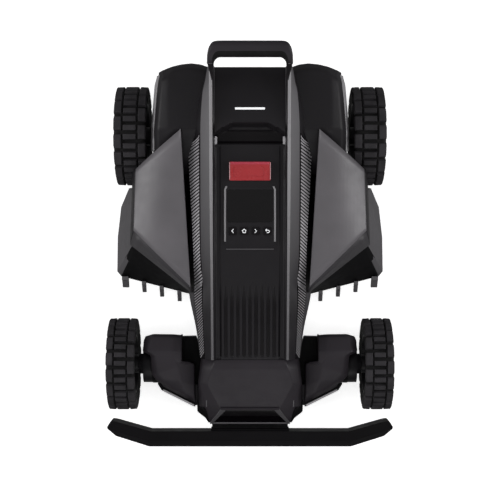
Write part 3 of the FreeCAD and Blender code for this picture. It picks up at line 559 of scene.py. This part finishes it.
def recess_painted_shade():
    """Painted shade: a dark sheet over the floor of the hand recess, under the lip."""
    shape = Shape()
    rows = []
    for k in range(12):
        y = 203.5 + 2.4 * k
        row = []
        for i in range(41):
            x = -65.0 + 130.0 * i / 40
            yy = min(y, recess_edge(x) + 1.0)
            row.append((x * MM, yy * MM, (panel_height(x, yy) + 0.35) * MM))
        rows.append(row)
    shape.grid(rows)
    walled(piece("recess_painted_shade", shape.verts, shape.faces, "chassis", "key_black", smooth=60.0), 0.8)


def spine():
    """Top panel as a fine net, and a wall on each side from its edge over the shoulder and down."""
    xs = [-SPINE_HALF + 133.0 * i / 190 for i in range(191)]
    ys = [-208 + 2.4 * i for i in range(232)] + [348.0]
    shape = Shape()
    shape.grid([[(x * MM, y * MM, panel_height(x, y) * MM) for x in xs] for y in ys])
    top = piece("spine_top", shape.verts, shape.faces, "chassis", "black_shell", ["spine_cover"], smooth=50.0)
    walled(top, 2.4)

    def wall(side, sign):
        stations = [348, 334, 318, 300, 275, 249, 226, 205, 165, 125, 85, 45, 5,
                    -28, -60, -75, -90, -120, -150, -180, -208]
        rows = []
        for y in stations:
            z_sh = shoulder_z(y)
            lift = 1.8 * smooth_step((y + 30) / 30)
            rows.append([
                (SPINE_HALF, y, panel_height(SPINE_HALF, y) - 0.4),
                (SPINE_HALF, y, z_sh),
                (between(y, 3), y, z_sh),
                (between(y, 4), y, between(y, 5) + lift),
            ])
        skin(f"{side}_spine_wall", flip(rows, sign), "chassis", "black_shell", across=1.5, along=4.0,
             thick=1.0)

    both(wall)


def rails():
    """Each rail: a triangular bar painted darker towards the front as painted shade, a pale line along its
    crest as a painted highlight, and a black lining on its inner face.
    """
    def strip(side, sign, name, corners_at, slot, finish=None, replaces=()):
        shape = Shape()
        rings = []
        for i in range(113):
            y = -208 + 556.0 * i / 112
            corners = corners_at(y)
            ring = soften(corners + corners[:1], 1.4, 3)
            rings.append([(sign * p.x * MM, p.y * MM, p.z * MM) for p in ring[:-1]])
        shape.loft(rings)
        piece(f"{side}_{name}", shape.verts, shape.faces, "chassis", slot, replaces, smooth=45.0,
              finish=finish)

    def bar(y):
        crest, low, out = between(y, 2), shoulder_z(y) + 0.2, between(y, 3) + 0.8
        return [(66.7, y, low), (66.7, y, between(y, 1)), (69.6, y, crest - 0.6), (75.0, y, crest - 0.6),
                (out, y, low + 3), (out, y, low)]

    def crest(y):
        top = between(y, 2)
        wide = 4.4 + 1.2 * smooth_step((y + 40) / 160)
        return [(70.0, y, top - 1.6), (70.0, y, top), (70.0 + wide, y, top), (70.4 + wide, y, top - 1.6)]

    def lining(y):
        top, low = between(y, 2), between(y, 1) - 1.0
        return [(66.75, y, low), (69.2, y, top - 0.2), (70.0, y, top - 0.4), (67.6, y, low)]

    def build(side, sign):
        strip(side, sign, "rail_bar", bar, "rail_grey", replaces=[f"{side}_rail"])
        # The crest strip is a painted highlight along the rail's top.
        strip(side, sign, "rail_crest_highlight", crest, "rail_grey", "crest")
        strip(side, sign, "rail_lining", lining, "black_shell")

    both(build)


CROWN = 25.0     # mm, what makes each wing plate swell between its edges


def wings():
    """Each wing: a crowned grey plate, a dark band across its front, and black walls behind and outside."""
    inner_back, outer_back = Vector((131, 233, 238)), Vector((220, 160, 190))
    inner_front, outer_front = Vector((114, -66, 206)), Vector((224, 41, 190))
    band_in, band_out = Vector((114, -80, 165)), Vector((234.9, 14, DECK_TOP))

    def swell(u, sink=0.0):
        return Vector((0, 0, CROWN * u * (1 - u * u) - sink))

    def build(side, sign):
        rows, flank = [], []
        for k in range(13):
            v = k / 12
            inner, outer = inner_back.lerp(inner_front, v), outer_back.lerp(outer_front, v)
            row = [inner - Vector((0, 0, 10))]
            for i in range(15):
                u = i / 14
                row.append(inner.lerp(outer, u) + swell(u))
            rows.append(row + [outer + Vector((0.6, 0, -3.0))])
            flank.append([outer + Vector((0.2, 0, -1.6)), outer + Vector((5.4, 0, -20)),
                          Vector((outer.x + 10, outer.y, DECK_TOP))])
        flank.append([outer_front + Vector((1.2, -2, -3)), outer_front + Vector((5.4, -12, -21)), band_out])
        skin(f"{side}_wing_shell", flip(rows, sign), "chassis", "grey_shell", [f"{side}_wing"], across=1.6,
             along=2.0, smooth=50.0)
        back = []
        for k in range(11):
            u = k / 10
            top = inner_back.lerp(outer_back, u) + swell(u, 1.2)
            back.append([top + Vector((0, -0.4, 0)), top + Vector((-0.5, -3.0, -9)),
                         top + Vector((-1, -7.0, -17))])
        skin(f"{side}_wing_back", flip(back, sign), "chassis", "black_shell", across=1.5, along=2.0,
             thick=1.6, smooth=50.0)
        skin(f"{side}_wing_flank", flip(flank, sign), "chassis", "black_shell", across=2.0, along=3.0,
             smooth=50.0)
        band = []
        for i in range(9):
            u = i / 8
            top = inner_front.lerp(outer_front, u) + swell(u, 0.7)
            low = band_in.lerp(band_out, u)
            band.append([top + Vector((0, -0.6, 0)), top.lerp(low, 0.5) + Vector((0, -1.0, 1.4)), low,
                         low + Vector((0, 3.0, -3.0))])
        skin(f"{side}_wing_band", flip(band, sign), "chassis", "grey_shell", across=1.4, along=2.0,
             smooth=50.0, finish="band")

    both(build)


def rear_shell():
    """Rear cover: a flat deck with steep sides and a back wall that swells on each side of the handle."""
    def across(y, half, top, drop=0.0):
        return [(half, y, DECK_TOP), (half - 6, y, top - 20 - drop), (half - 14, y, top - 5.5 - drop),
                (156, y, top - 0.8), (132, y, top - 0.3), (112, y, top), (94, y, top), (80, y, top),
                (40, y, top), (0, y, top)]

    rows = [across(150, 190, 185, -8), across(195, 189.5, 209, -3), across(235, 189, 231.5),
            across(300, 184, 231.5), across(328, 181, 231)]
    back = [(179, 345), (176, 346), (168, 348), (150, 354.5), (132, 358.7), (112, 360.8), (94, 358.7),
            (80, 353.8), (40, 353.8), (0, 353.8)]
    crest_z = (DECK_TOP, 203, 220, 228, 229.5, 230, 229.5, 229, 229, 229)
    edge_z = (DECK_TOP, 192, 208, 213, 214.5, 215, 214.5, 214, 214, 214)
    rows.append([(x - 3 * (k < 3), y - 13 + 7 * (k < 2), z)
                 for k, ((x, y), z) in enumerate(zip(back, crest_z))])
    rows.append([(x, y, z) for (x, y), z in zip(back, edge_z)])
    rows.append([(x, y, 96) for x, y in back])
    rows = [row + [(-x, y, z) for x, y, z in reversed(row[:-1])] for row in rows]
    skin("rear_cover", rows, "chassis", "black_shell", ["rear_shell"], across=4.0, along=5.0, smooth=60.0)

    def trim(side, sign):
        """Pale strip set into the side of the cover, a painted highlight where the cover's side facet catches
        the light.
        """
        rings = []
        for k in range(31):
            y = 196 + 146.0 * k / 30
            half = 189.6 - 7.0 * max(0.0, (y - 240) / 90) - 3.0 * smooth_step((y - 322) / 20)
            ring = []
            for out, z in ((-5.5, 172), (0.2, 168), (2.4, 169.5), (-1.6, 181), (-6.0, 182.5)):
                ring.append((sign * (half + out) * MM, y * MM, z * MM))
            rings.append(ring)
        lofted_trim(f"{side}_shell_highlight", rings, "chassis", "rail_grey", "crest", 0.3 * MM)

    both(trim)


def nose():
    """Nose cover over the front axle, with the raised frame round the camera window."""
    # Stations in mm: y, then x and z of four points from the lower edge up to the top.
    sections = [
        (-208.2, 96, DECK_TOP, 90, 163, 82, 172, 68, 188.5),
        (-232, 99, 148, 94, 159, 87, 168, 76, 179.5),
        (-256, 102, 145, 98, 155, 93, 161, 84, 170),
        (-280, 101.5, 131, 93, 146, 86, 152, 72, 161),
        (-300, 101, 118, 88, 138, 79, 144, 62, 152.5),
        (-308, 101, 111.5, 86, 131, 77, 137, 59, 148.5),
        (-325, 92, 98, 84, 113, 78, 119, 69, 123),
        (-341, 83, 87, 82, 93, 81, 95, 79, 97),
    ]
    rows = []
    for y, x0, z0, x1, z1, x2, z2, x3, z3 in sections:
        half = [(x0, y, z0), (x1, y, z1), (x2, y, z2), (x3, y, z3), (x3 * 0.5, y, z3)]
        rows.append(half + [(-x, yy, z) for x, yy, z in reversed(half)])
    skin("nose_cover", rows, "chassis", "dark_shell", ["nose_cowl"], across=2.0, along=3.0, smooth=50.0)

    edge_y, edge_z = -308, 148.5    # mm, top edge of the sloping front
    run, fall = 33.0, 51.5          # mm, how far the slope reaches forward and down

    def slab(name, outline, lift, deep, slot, replaces=()):
        """A plate over the sloping nose: outline in (x, y), its face lift mm above the slope."""
        shape = Shape()
        rings = []
        for h in (lift - deep, lift):
            ring = []
            for x, y in outline:
                t = (edge_y - y) / run
                ring.append((x * MM, (y - h * 0.84) * MM, (edge_z - fall * t + h * 0.54) * MM))
            rings.append(ring)
        shape.loft(rings)
        return rounded(piece(name, shape.verts, shape.faces, "chassis", slot, replaces), 0.7 * MM, 3)

    slab("camera_window", [(-46, -309), (46, -309), (73, -339), (-73, -339)], 1.4, 3.0, "gloss_black",
         ["nose_window"])

    def strut(side, sign):
        """Grey bar down one side of the window."""
        corners = ((47, -307.5), (58, -307.5), (79.5, -340), (74.5, -340))
        slab(f"{side}_window_strut", [(sign * x, y) for x, y in corners], 2.6, 4.0, "skirt_grey")

    both(strut)
    slab("window_lip", [(-79, -339.0), (79, -339.0), (80, -342.2), (-80, -342.2)], 2.2, 3.0, "comb_grey")

    def tick(side, sign):
        """Short pale bar set into the corner of the cover."""
        shape = Shape()
        shape.loft([[(sign * x * MM, y * MM, (z + lift - 0.7 * (x - 85.5)) * MM)
                     for x, lift in ((84.6, -1.4), (86.4, -1.4), (86.4, 0.6), (84.6, 0.6))]
                    for y, z in ((-291, 145.4), (-300, 139.7), (-305, 134.4))])
        piece(f"{side}_nose_tick", shape.verts, shape.faces, "chassis", "comb_grey")

    both(tick)

    def cheek(side, sign):
        """Black lower corner of the nose, under the cover's edge."""
        rows = []
        for y, x0, z0, x1, z1 in ((-307, 101.6, 111.5, 90, 129.5), (-316, 97.4, 104.5, 86, 121.5),
                                  (-326, 92.0, 97.4, 83.6, 112.0), (-341, 83.4, 86.6, 81.8, 92.6)):
            rows.append([(x0 + 0.3, y - 0.5, z0 - 4), (x0 + 0.3, y - 0.5, z0 + 0.8),
                         (x1 + 0.6, y - 0.5, z1 + 0.8)])
        skin(f"{side}_nose_cheek", flip(rows, sign), "chassis", "inner_plastic", across=1.0, along=2.0,
             thick=1.2, smooth=50.0)

    both(cheek)
    slab("window_brow", [(-58, -305.2), (58, -305.2), (57, -308.2), (-57, -308.2)], 2.4, 3.0, "dark_shell")


def arms():
    """Covers over the front axle: a flat rear shoulder, a crease and a long slope to a thin front lip."""
    def build(side, sign):
        rows = [
            [(134, -163, 109), (134, -163, 139), (150, -161.5, 141),
             (190, -161, 140), (206, -166, 133), (211, -175, 109)],
            [(133, -167, 109), (133, -167, 147), (150, -166, 150),
             (192, -166, 148), (208, -172, 138), (212, -179, 109)],
            [(133, -196, 109), (133, -196, 161), (150, -194.5, 164),
             (200, -194, 160), (211, -195, 146), (212, -195, 109)],
            [(133, -217, 109), (133, -217, 158), (150, -205, 161),
             (186, -203, 158), (194.5, -203, 150), (195, -203, 109)],
            [(109, -219, 109), (109, -219, 143), (140, -222, 158),
             (180, -238, 152), (193, -240, 144), (195, -240, 109)],
            [(109, -262, 109), (109, -262, 136), (136, -252, 151),
             (170, -252, 144), (182, -256, 134), (184, -257, 109)],
            [(109, -284, 109), (109, -284, 128), (128, -277, 136),
             (156, -266, 133), (174, -260, 126), (176, -261, 109)],
            [(109, -298, 109), (109, -297.5, 119), (128, -289, 120),
             (156, -275, 120), (171, -267, 118), (173, -267, 109)],
        ]
        skin(f"{side}_arm_shell", flip(rows, sign), "front_axle", "dark_shell", [f"{side}_arm_cover"],
             across=3.5, along=3.5, smooth=60.0)
        # Painted highlight: a pale strip along the cover's thin front lip.
        rings = []
        for x, y in ((112, -306.8), (174, -275.8)):
            rings.append([(sign * (x + 0.447 * out) * MM, (y - 0.894 * out) * MM, z * MM)
                          for out, z in ((-3.6, 107.8), (0.4, 107.8), (0.4, 109.6), (-3.6, 110.8))])
        lofted_trim(f"{side}_arm_lip_highlight", rings, "front_axle", "rail_grey", "carbon_trim", 0.3 * MM)
        folds = Shape()
        rings = []
        for k in range(9):
            y = -262 - 43.0 * k / 8
            z = 131 - 20.0 * k / 8
            line = [(100.6 + 0.95 * i, z - 5.0 * math.sin(math.pi * i / 10)) for i in range(11)]
            ring = line + [(x, zz - 1.6) for x, zz in reversed(line)]
            rings.append([(sign * x * MM, y * MM, zz * MM) for x, zz in ring])
        folds.loft(rings)
        seal = piece(f"{side}_axle_seal", folds.verts, folds.faces, None, "tyre", smooth=60.0, finish="seal")
        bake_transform(seal)

    both(build)


def curve_through(y, stations):
    """A value at y on straight lines through (y, value) stations."""
    for (y0, v0), (y1, v1) in zip(stations, stations[1:]):
        if y <= y1:
            return v0 + (v1 - v0) * max(0.0, (y - y0) / (y1 - y0))
    return stations[-1][1]


def bumper_trim():
    """Folded rubber boot between nose and bumper bracket, and a pale line along the bar's front edge as a
    painted highlight.
    """
    xs = (-76.0, -72.0, 72.0, 76.0)
    shape = Shape()
    rings = []
    for x in xs:
        drop = 1.6 if abs(x) > 74 else 0.0
        line = [(-339.6 - 0.68 * i, 88.0 - drop + 1.3 * math.cos(2 * math.pi * i / 5)) for i in range(21)]
        rings.append([(x * MM, y * MM, z * MM) for y, z in line + [(y, z - 1.6) for y, z in reversed(line)]])
    shape.loft(rings)
    boot = piece("bumper_boot", shape.verts, shape.faces, None, "tyre", smooth=60.0, finish="groove")
    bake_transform(boot)
    # Painted highlight along the bar's front edge.
    section = ((-385.6, 94.9), (-388.8, 91.0), (-388.9, 87.6), (-386.0, 88.0))
    rings = [[(x * MM, y * MM, z * MM) for y, z in section] for x in (-199, -100, 0, 100, 199)]
    lofted_trim("bumper_highlight", rings, "bumper", "bumper_black", "comb_grey", 0.3 * MM)


def stop_bar_trim():
    """Painted highlights: a pale edge down each end of the stop bar and a lighter ledge along its rear edge.
    """
    low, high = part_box("stop_button")

    def edge(side, sign):
        x = sign * (high.x - 0.6 * MM)
        section = ((-0.9, -1.6), (0.5, -1.6), (0.5, 0.25), (-0.9, 0.4))
        rings = [[(x + sign * a * MM, y, high.z + b * MM) for a, b in section]
                 for y in (low.y + 2 * MM, (low.y + high.y) / 2, high.y - 2 * MM)]
        lofted_trim(f"{side}_stop_edge_highlight", rings, "stop_bar", "stop_red", "stop_red_glint", 0.2 * MM)

    both(edge)
    section = ((-6.0, -1.6), (-1.2, -1.6), (-1.2, 0.2), (-6.0, 0.45))
    rings = [[(x, high.y + a * MM, high.z + b * MM) for a, b in section]
             for x in (low.x + 3 * MM, 0.0, high.x - 3 * MM)]
    lofted_trim("stop_ledge_highlight", rings, "stop_bar", "stop_red", "stop_red_highlight", 0.2 * MM)


def handle():
    """Carry handle: a broad grip between two legs that grow out of the rails, a dark root on each."""
    top = [(348, 299), (356, 306), (364, 312), (372, 316.2), (380, 317.6), (386, 316), (389, 312)]
    bottom = [(348, 285.6), (362, 287.6), (376, 290.4), (384, 295), (389, 301)]
    inner = [(66.9, 348.4, 0), (66.2, 353, 0), (59.5, 359.7, 0), (44, 359.7, 0), (0, 359.7, 0)]
    outer = [(78.9, 348.4, 0), (78.2, 368, 0), (71, 388.6, 0), (44, 388.8, 0), (0, 388.8, 0)]
    inner_line, outer_line = soften(inner, 5.0, 6), soften(outer, 15.0, 6)
    rings = []
    for near, far in zip(inner_line, outer_line):
        ring = []
        for j in range(32):
            a = 2 * math.pi * j / 32
            c, s = math.cos(a), math.sin(a)
            u = 0.5 + 0.5 * math.copysign(abs(c) ** 0.55, c)
            v = math.copysign(abs(s) ** 0.55, s)
            p = near.lerp(far, u)
            z_top, z_low = curve_through(p.y, top), curve_through(p.y, bottom)
            ring.append(Vector((p.x, p.y, (z_top + z_low) / 2 + v * (z_top - z_low) / 2)))
        rings.append(ring)
    rings += [[Vector((-p.x, p.y, p.z)) for p in ring] for ring in reversed(rings[:-1])]
    shape = Shape()
    shape.loft([[tuple(p * MM) for p in ring] for ring in rings])
    piece("handle_grip", shape.verts, shape.faces, "chassis", "dark_shell", ["handle_bow"], smooth=50.0)
    # Painted shade: a near-black strip along the grip's inner side, where the grip turns away from the light.
    shade_strip = Shape()
    shade_rings = []
    for near, far in zip(inner_line, outer_line):
        line = []
        for share in (0.0, 0.04, 0.10, 0.17, 0.24, 0.30):
            p = near.lerp(far, share)
            rise = curve_through(p.y, top) - curve_through(p.y, bottom)
            half = 0.5 * rise * max(0.0, 1 - abs(2 * share - 1) ** 3.6) ** 0.278
            line.append(Vector((p.x, p.y, curve_through(p.y, bottom) + rise / 2 + half + 0.35)))
        shade_rings.append(line + [p - Vector((0, 0, 1.4)) for p in reversed(line)])
    shade_rings += [[Vector((-p.x, p.y, p.z)) for p in ring] for ring in reversed(shade_rings[:-1])]
    shade_strip.loft([[tuple(p * MM) for p in ring] for ring in shade_rings])
    piece("handle_painted_shade", shade_strip.verts, shade_strip.faces, "chassis", "dark_shell", smooth=50.0, finish="groove")

    def edge(side, sign):
        """Pale outer edge of a leg, in line with the rail: painted light where the leg's side catches the
        light.
        """
        rings = []
        for p in outer_line[:9]:
            z = (curve_through(p.y, top) + curve_through(p.y, bottom)) / 2 + 1.0
            rings.append([(sign * (p.x + out) * MM, p.y * MM, (z + up) * MM)
                          for out, up in ((-2.0, -3.4), (0.9, -2.4), (0.9, 1.6), (-2.0, 4.2))])
        lofted_trim(f"{side}_handle_lit_edge", rings, "chassis", "rail_grey", "comb_grey", 0.4 * MM)

    both(edge)

    def root(side, sign):
        """Dark wedge on the rail's crest, where the leg begins."""
        rings = []
        for y, x0, x1 in ((347.6, 67.0, 78.6), (338, 67.2, 76.6), (328, 68.2, 73.6), (318, 69.6, 71.2)):
            crest = between(y, 2)
            section = ((x0, crest - 5), (x1, crest - 5), (x1, crest - 0.2), (x1 - 0.6, crest + 0.7),
                       (x0, crest + 0.7))
            rings.append([(sign * x * MM, y * MM, z * MM) for x, z in section])
        lofted_trim(f"{side}_handle_root", rings, "chassis", "dark_shell", "key_black", 0.4 * MM)

    both(root)


# Side panel in mm: y, then the shares of the spine wall's width where the panel starts and ends.
PANEL = [(224, 0.05, 0.07), (200, 0.03, 0.95), (60, 0.04, 0.72), (-30, 0.03, 0.60), (-52, -0.05, 0.55),
         (-64, 0.03, 0.58), (-90, 0.02, 0.62), (-136, 0.02, 0.70), (-203, 0.02, 0.92)]


def wall_point(y, share, lift):
    """A point on the spine's sloping side wall, in mm, lifted off it."""
    top = Vector((between(y, 3), y, shoulder_z(y)))
    low = Vector((between(y, 4), y, between(y, 5)))
    out = Vector((top.z - low.z, 0, low.x - top.x)).normalized()
    return top.lerp(low, share) + out * lift


def panel_shares(y):
    for (y0, a0, b0), (y1, a1, b1) in zip(PANEL, PANEL[1:]):
        if y1 <= y <= y0:
            t = (y0 - y) / (y0 - y1)
            return a0 + (a1 - a0) * t, b0 + (b1 - b0) * t
    return PANEL[-1][1:]


def side_panels():
    """Dark base strip with a raised diagonal weave, coarse behind and fine in front."""
    slant = 12.0     # mm that each bar of the weave runs forward, from its upper end to its lower

    def build(side, sign):
        def put(p):
            return (sign * p.x * MM, p.y * MM, p.z * MM)

        shape = Shape()
        rings = []
        for i in range(90):
            y = 223.5 - 426.0 * i / 89
            a, b = panel_shares(y)
            section = ((a, 0.2), (b, 0.2), (b, 1.6), (a, 1.6))
            rings.append([put(wall_point(y, s, lift)) for s, lift in section])
        shape.loft(rings)
        piece(f"{side}_panel_base", shape.verts, shape.faces, "chassis", "black_shell",
              [f"{side}_side_panel"], finish="key_black")
        weaves = (("coarse", 221, -62, 6.4, 3.5), ("fine", -58, -198, 5.2, 1.6))
        for name, y_from, y_to, pitch, width in weaves:
            weave = Shape()
            y = y_from
            while y > y_to:
                bar = []
                for k in range(7):
                    share = k / 6
                    ends = []
                    for yy in (y - slant * (1 - share), y - slant * (1 - share) - width):
                        a, b = panel_shares(yy)
                        ends.append((yy, a + (b - a) * (0.04 + 0.92 * (1 - share))))
                    (y1, s1), (y2, s2) = ends
                    bar.append([put(wall_point(y1, s1, 1.5)), put(wall_point(y2, s2, 1.5)),
                                put(wall_point(y2 + 0.4, s2, 2.2)), put(wall_point(y1 - 0.4, s1, 2.2))])
                weave.loft(bar)
                y -= pitch
            piece(f"{side}_weave_{name}", weave.verts, weave.faces, "chassis", "carbon_trim", smooth=25.0)

        rings = []
        for i in range(29):
            y = -70.0 - 4.8 * i
            inner = panel_shares(y)[1] + 0.04
            rings.append([put(wall_point(y, s, lift)) for s, lift in
                          ((inner, 0.1), (1.0, 0.1), (1.0, 1.6), (min(inner + 0.04, 1.0), 1.9))])
        lofted_trim(f"{side}_neck_strip", rings, "chassis", "grey_shell", "band", 0.4 * MM)

    both(build)


# ---------------------------------------------------------------- controls
def on_panel(x, y, lift):
    """A point above the sloping control panel, in metres."""
    return (x * MM, (y - lift * 0.06) * MM, (panel_plane(y) + lift) * MM)


def stroke(shape, points, width, low, high, closed=False):
    """A raised line of the given width along points in mm on the control panel."""
    points = [Vector(p + (0,)) for p in points]
    count = len(points)
    rings = []
    for k, p in enumerate(points):
        before = points[k - 1] if closed or k else p
        after = points[(k + 1) % count] if closed or k < count - 1 else p
        run = (after - before).normalized()
        side = Vector((-run.y, run.x, 0)) * width / 2
        rings.append([on_panel(p.x + side.x, p.y + side.y, low), on_panel(p.x - side.x, p.y - side.y, low),
                      on_panel(p.x - side.x, p.y - side.y, high), on_panel(p.x + side.x, p.y + side.y, high)])
    if closed:
        shape.grid(rings, close_u=True, close_v=True)
    else:
        shape.loft(rings)


def icons():
    """Plain arrow, home and return marks on the keys."""
    marks = {
        "left": [[(1.8, 3.4), (-1.6, 0), (1.8, -3.4)]],
        "right": [[(-1.8, 3.4), (1.6, 0), (-1.8, -3.4)]],
        "home": [[(-3.9, 0.2), (0, 3.6), (3.9, 0.2)], [(-2.5, 0.0), (-2.5, -3.2), (2.5, -3.2), (2.5, 0.0)]],
        "back": [[(-1.4, 3.6), (-3.6, 1.6), (-1.4, -0.4)],
                 [(-3.2, 1.6), (1.4, 1.6), (3.2, 0.6), (3.6, -0.9), (3.0, -2.4), (1.4, -3.2), (-1.2, -3.2)]],
    }
    for key, x in (("left", -33.0), ("home", -11.0), ("right", 11.0), ("back", 33.0)):
        shape = Shape()
        for line in marks[key]:
            stroke(shape, [(x + px, 40.0 + py) for px, py in line], 1.15, 2.2, 2.55)
        piece(f"{key}_icon", shape.verts, shape.faces, f"{key}_key", "light", smooth=30.0)


def panel_lines():
    """Thin frame beside the display, a seam below the keys and a catch in each side of the hand recess."""
    shape = Shape()
    for sign in (-1, 1):
        line = ((44.0, 124.0), (46.9, 118.5), (47.2, 70.0), (47.0, 20.0))
        stroke(shape, [(sign * x, y) for x, y in line], 3.3, -0.8, 2.2)
    piece("display_frame", shape.verts, shape.faces, "chassis", "rail_grey", finish="crest")
    seam = Shape()
    stroke(seam, [(-45.0, 5.6), (45.0, 5.6)], 1.8, -1.4, 0.9)
    piece("panel_seam", seam.verts, seam.faces, "chassis", "dark_shell", finish="skirt_grey")

    def catch(side, sign):
        rings = []
        for x, cut in ((66.6, 0.0), (61.8, 1.2)):
            rings.append([(sign * x * MM, (210 + dy) * MM, z * MM) for dy, z in
                          ((-8 + cut, 250), (8 - cut, 250), (8 - cut, 257 - cut), (-8 + cut, 257 - cut))])
        lofted_trim(f"{side}_recess_catch", rings, "chassis", "rail_grey", "carbon_trim", 0.5 * MM)

    both(catch)


# ---------------------------------------------------------------- stage
def stage():
    """White floor, soft lights and the overhead camera."""
    mesh = bpy.data.meshes.new("floor")
    reach, z = 6.0, -0.5 * MM
    corners = [(-reach, -reach, z), (reach, -reach, z), (reach, reach, z), (-reach, reach, z)]
    mesh.from_pydata(corners, [], [(0, 1, 2, 3)])
    floor = bpy.data.objects.new("floor", mesh)
    bpy.context.scene.collection.objects.link(floor)
    n = Nodes("floor")
    n.link(n.mix(n.noise(1.5), (0.90, 0.90, 0.90, 1), (0.93, 0.93, 0.93, 1)), n.shader.inputs["Base Color"])
    n.shader.inputs["Roughness"].default_value = 0.9
    n.shader.inputs["Emission Color"].default_value = (1, 1, 1, 1)
    n.shader.inputs["Emission Strength"].default_value = 0.75
    mesh.materials.append(n.material)
    floor.visible_diffuse = False
    floor.visible_glossy = False

    world = bpy.data.worlds.new("studio")
    world.use_nodes = True
    world.node_tree.nodes["Background"].inputs["Color"].default_value = (1, 1, 1, 1)
    world.node_tree.nodes["Background"].inputs["Strength"].default_value = 0.20
    bpy.context.scene.world = world

    def softbox(name, place, aim, size, watts, glossy=True):
        light = bpy.data.lights.new(name, "AREA")
        light.shape = "RECTANGLE"
        light.size, light.size_y = size
        light.energy = watts
        obj = bpy.data.objects.new(name, light)
        obj.location = place
        obj.rotation_euler = (Vector(aim) - Vector(place)).to_track_quat("-Z", "Y").to_euler()
        obj.visible_glossy = glossy
        bpy.context.scene.collection.objects.link(obj)

    softbox("left_box", (-2.6, 0.2, 1.25), (0, 0, 0.15), (1.0, 2.4), 30)
    softbox("right_box", (2.6, 0.2, 1.25), (0, 0, 0.15), (1.0, 2.4), 30)
    softbox("front_box", (0.0, -2.6, 1.8), (0, 0, 0.1), (2.4, 1.0), 10)
    softbox("top_box", (0.0, 0.0, 3.4), (0, 0, 0), (1.6, 1.6), 16, glossy=False)

    camera = bpy.data.cameras.new("camera")
    camera.sensor_width = 36.0
    camera.lens = 93.6
    obj = bpy.data.objects.new("camera", camera)
    obj.location = (0.0, 0.004, 2.695)
    bpy.context.scene.collection.objects.link(obj)
    bpy.context.scene.camera = obj
    bpy.context.scene.view_settings.view_transform = "Standard"


dress_cad_nodes()
# The shroud shows only in the gaps between the covers, and takes the darker plastic there as painted shade.
dress(nodes["deck_shroud"], "inner_plastic")
for name in ("rear_left", "rear_right", "front_left", "front_right"):
    tyre(f"{name}_tread", f"{name}_tyre", f"{name}_wheel")
spine()
rib_groove_shade()
recess_painted_shade()
rails()
wings()
rear_shell()
nose()
arms()
handle()
bumper_trim()
stop_bar_trim()
side_panels()
icons()
panel_lines()
stage()
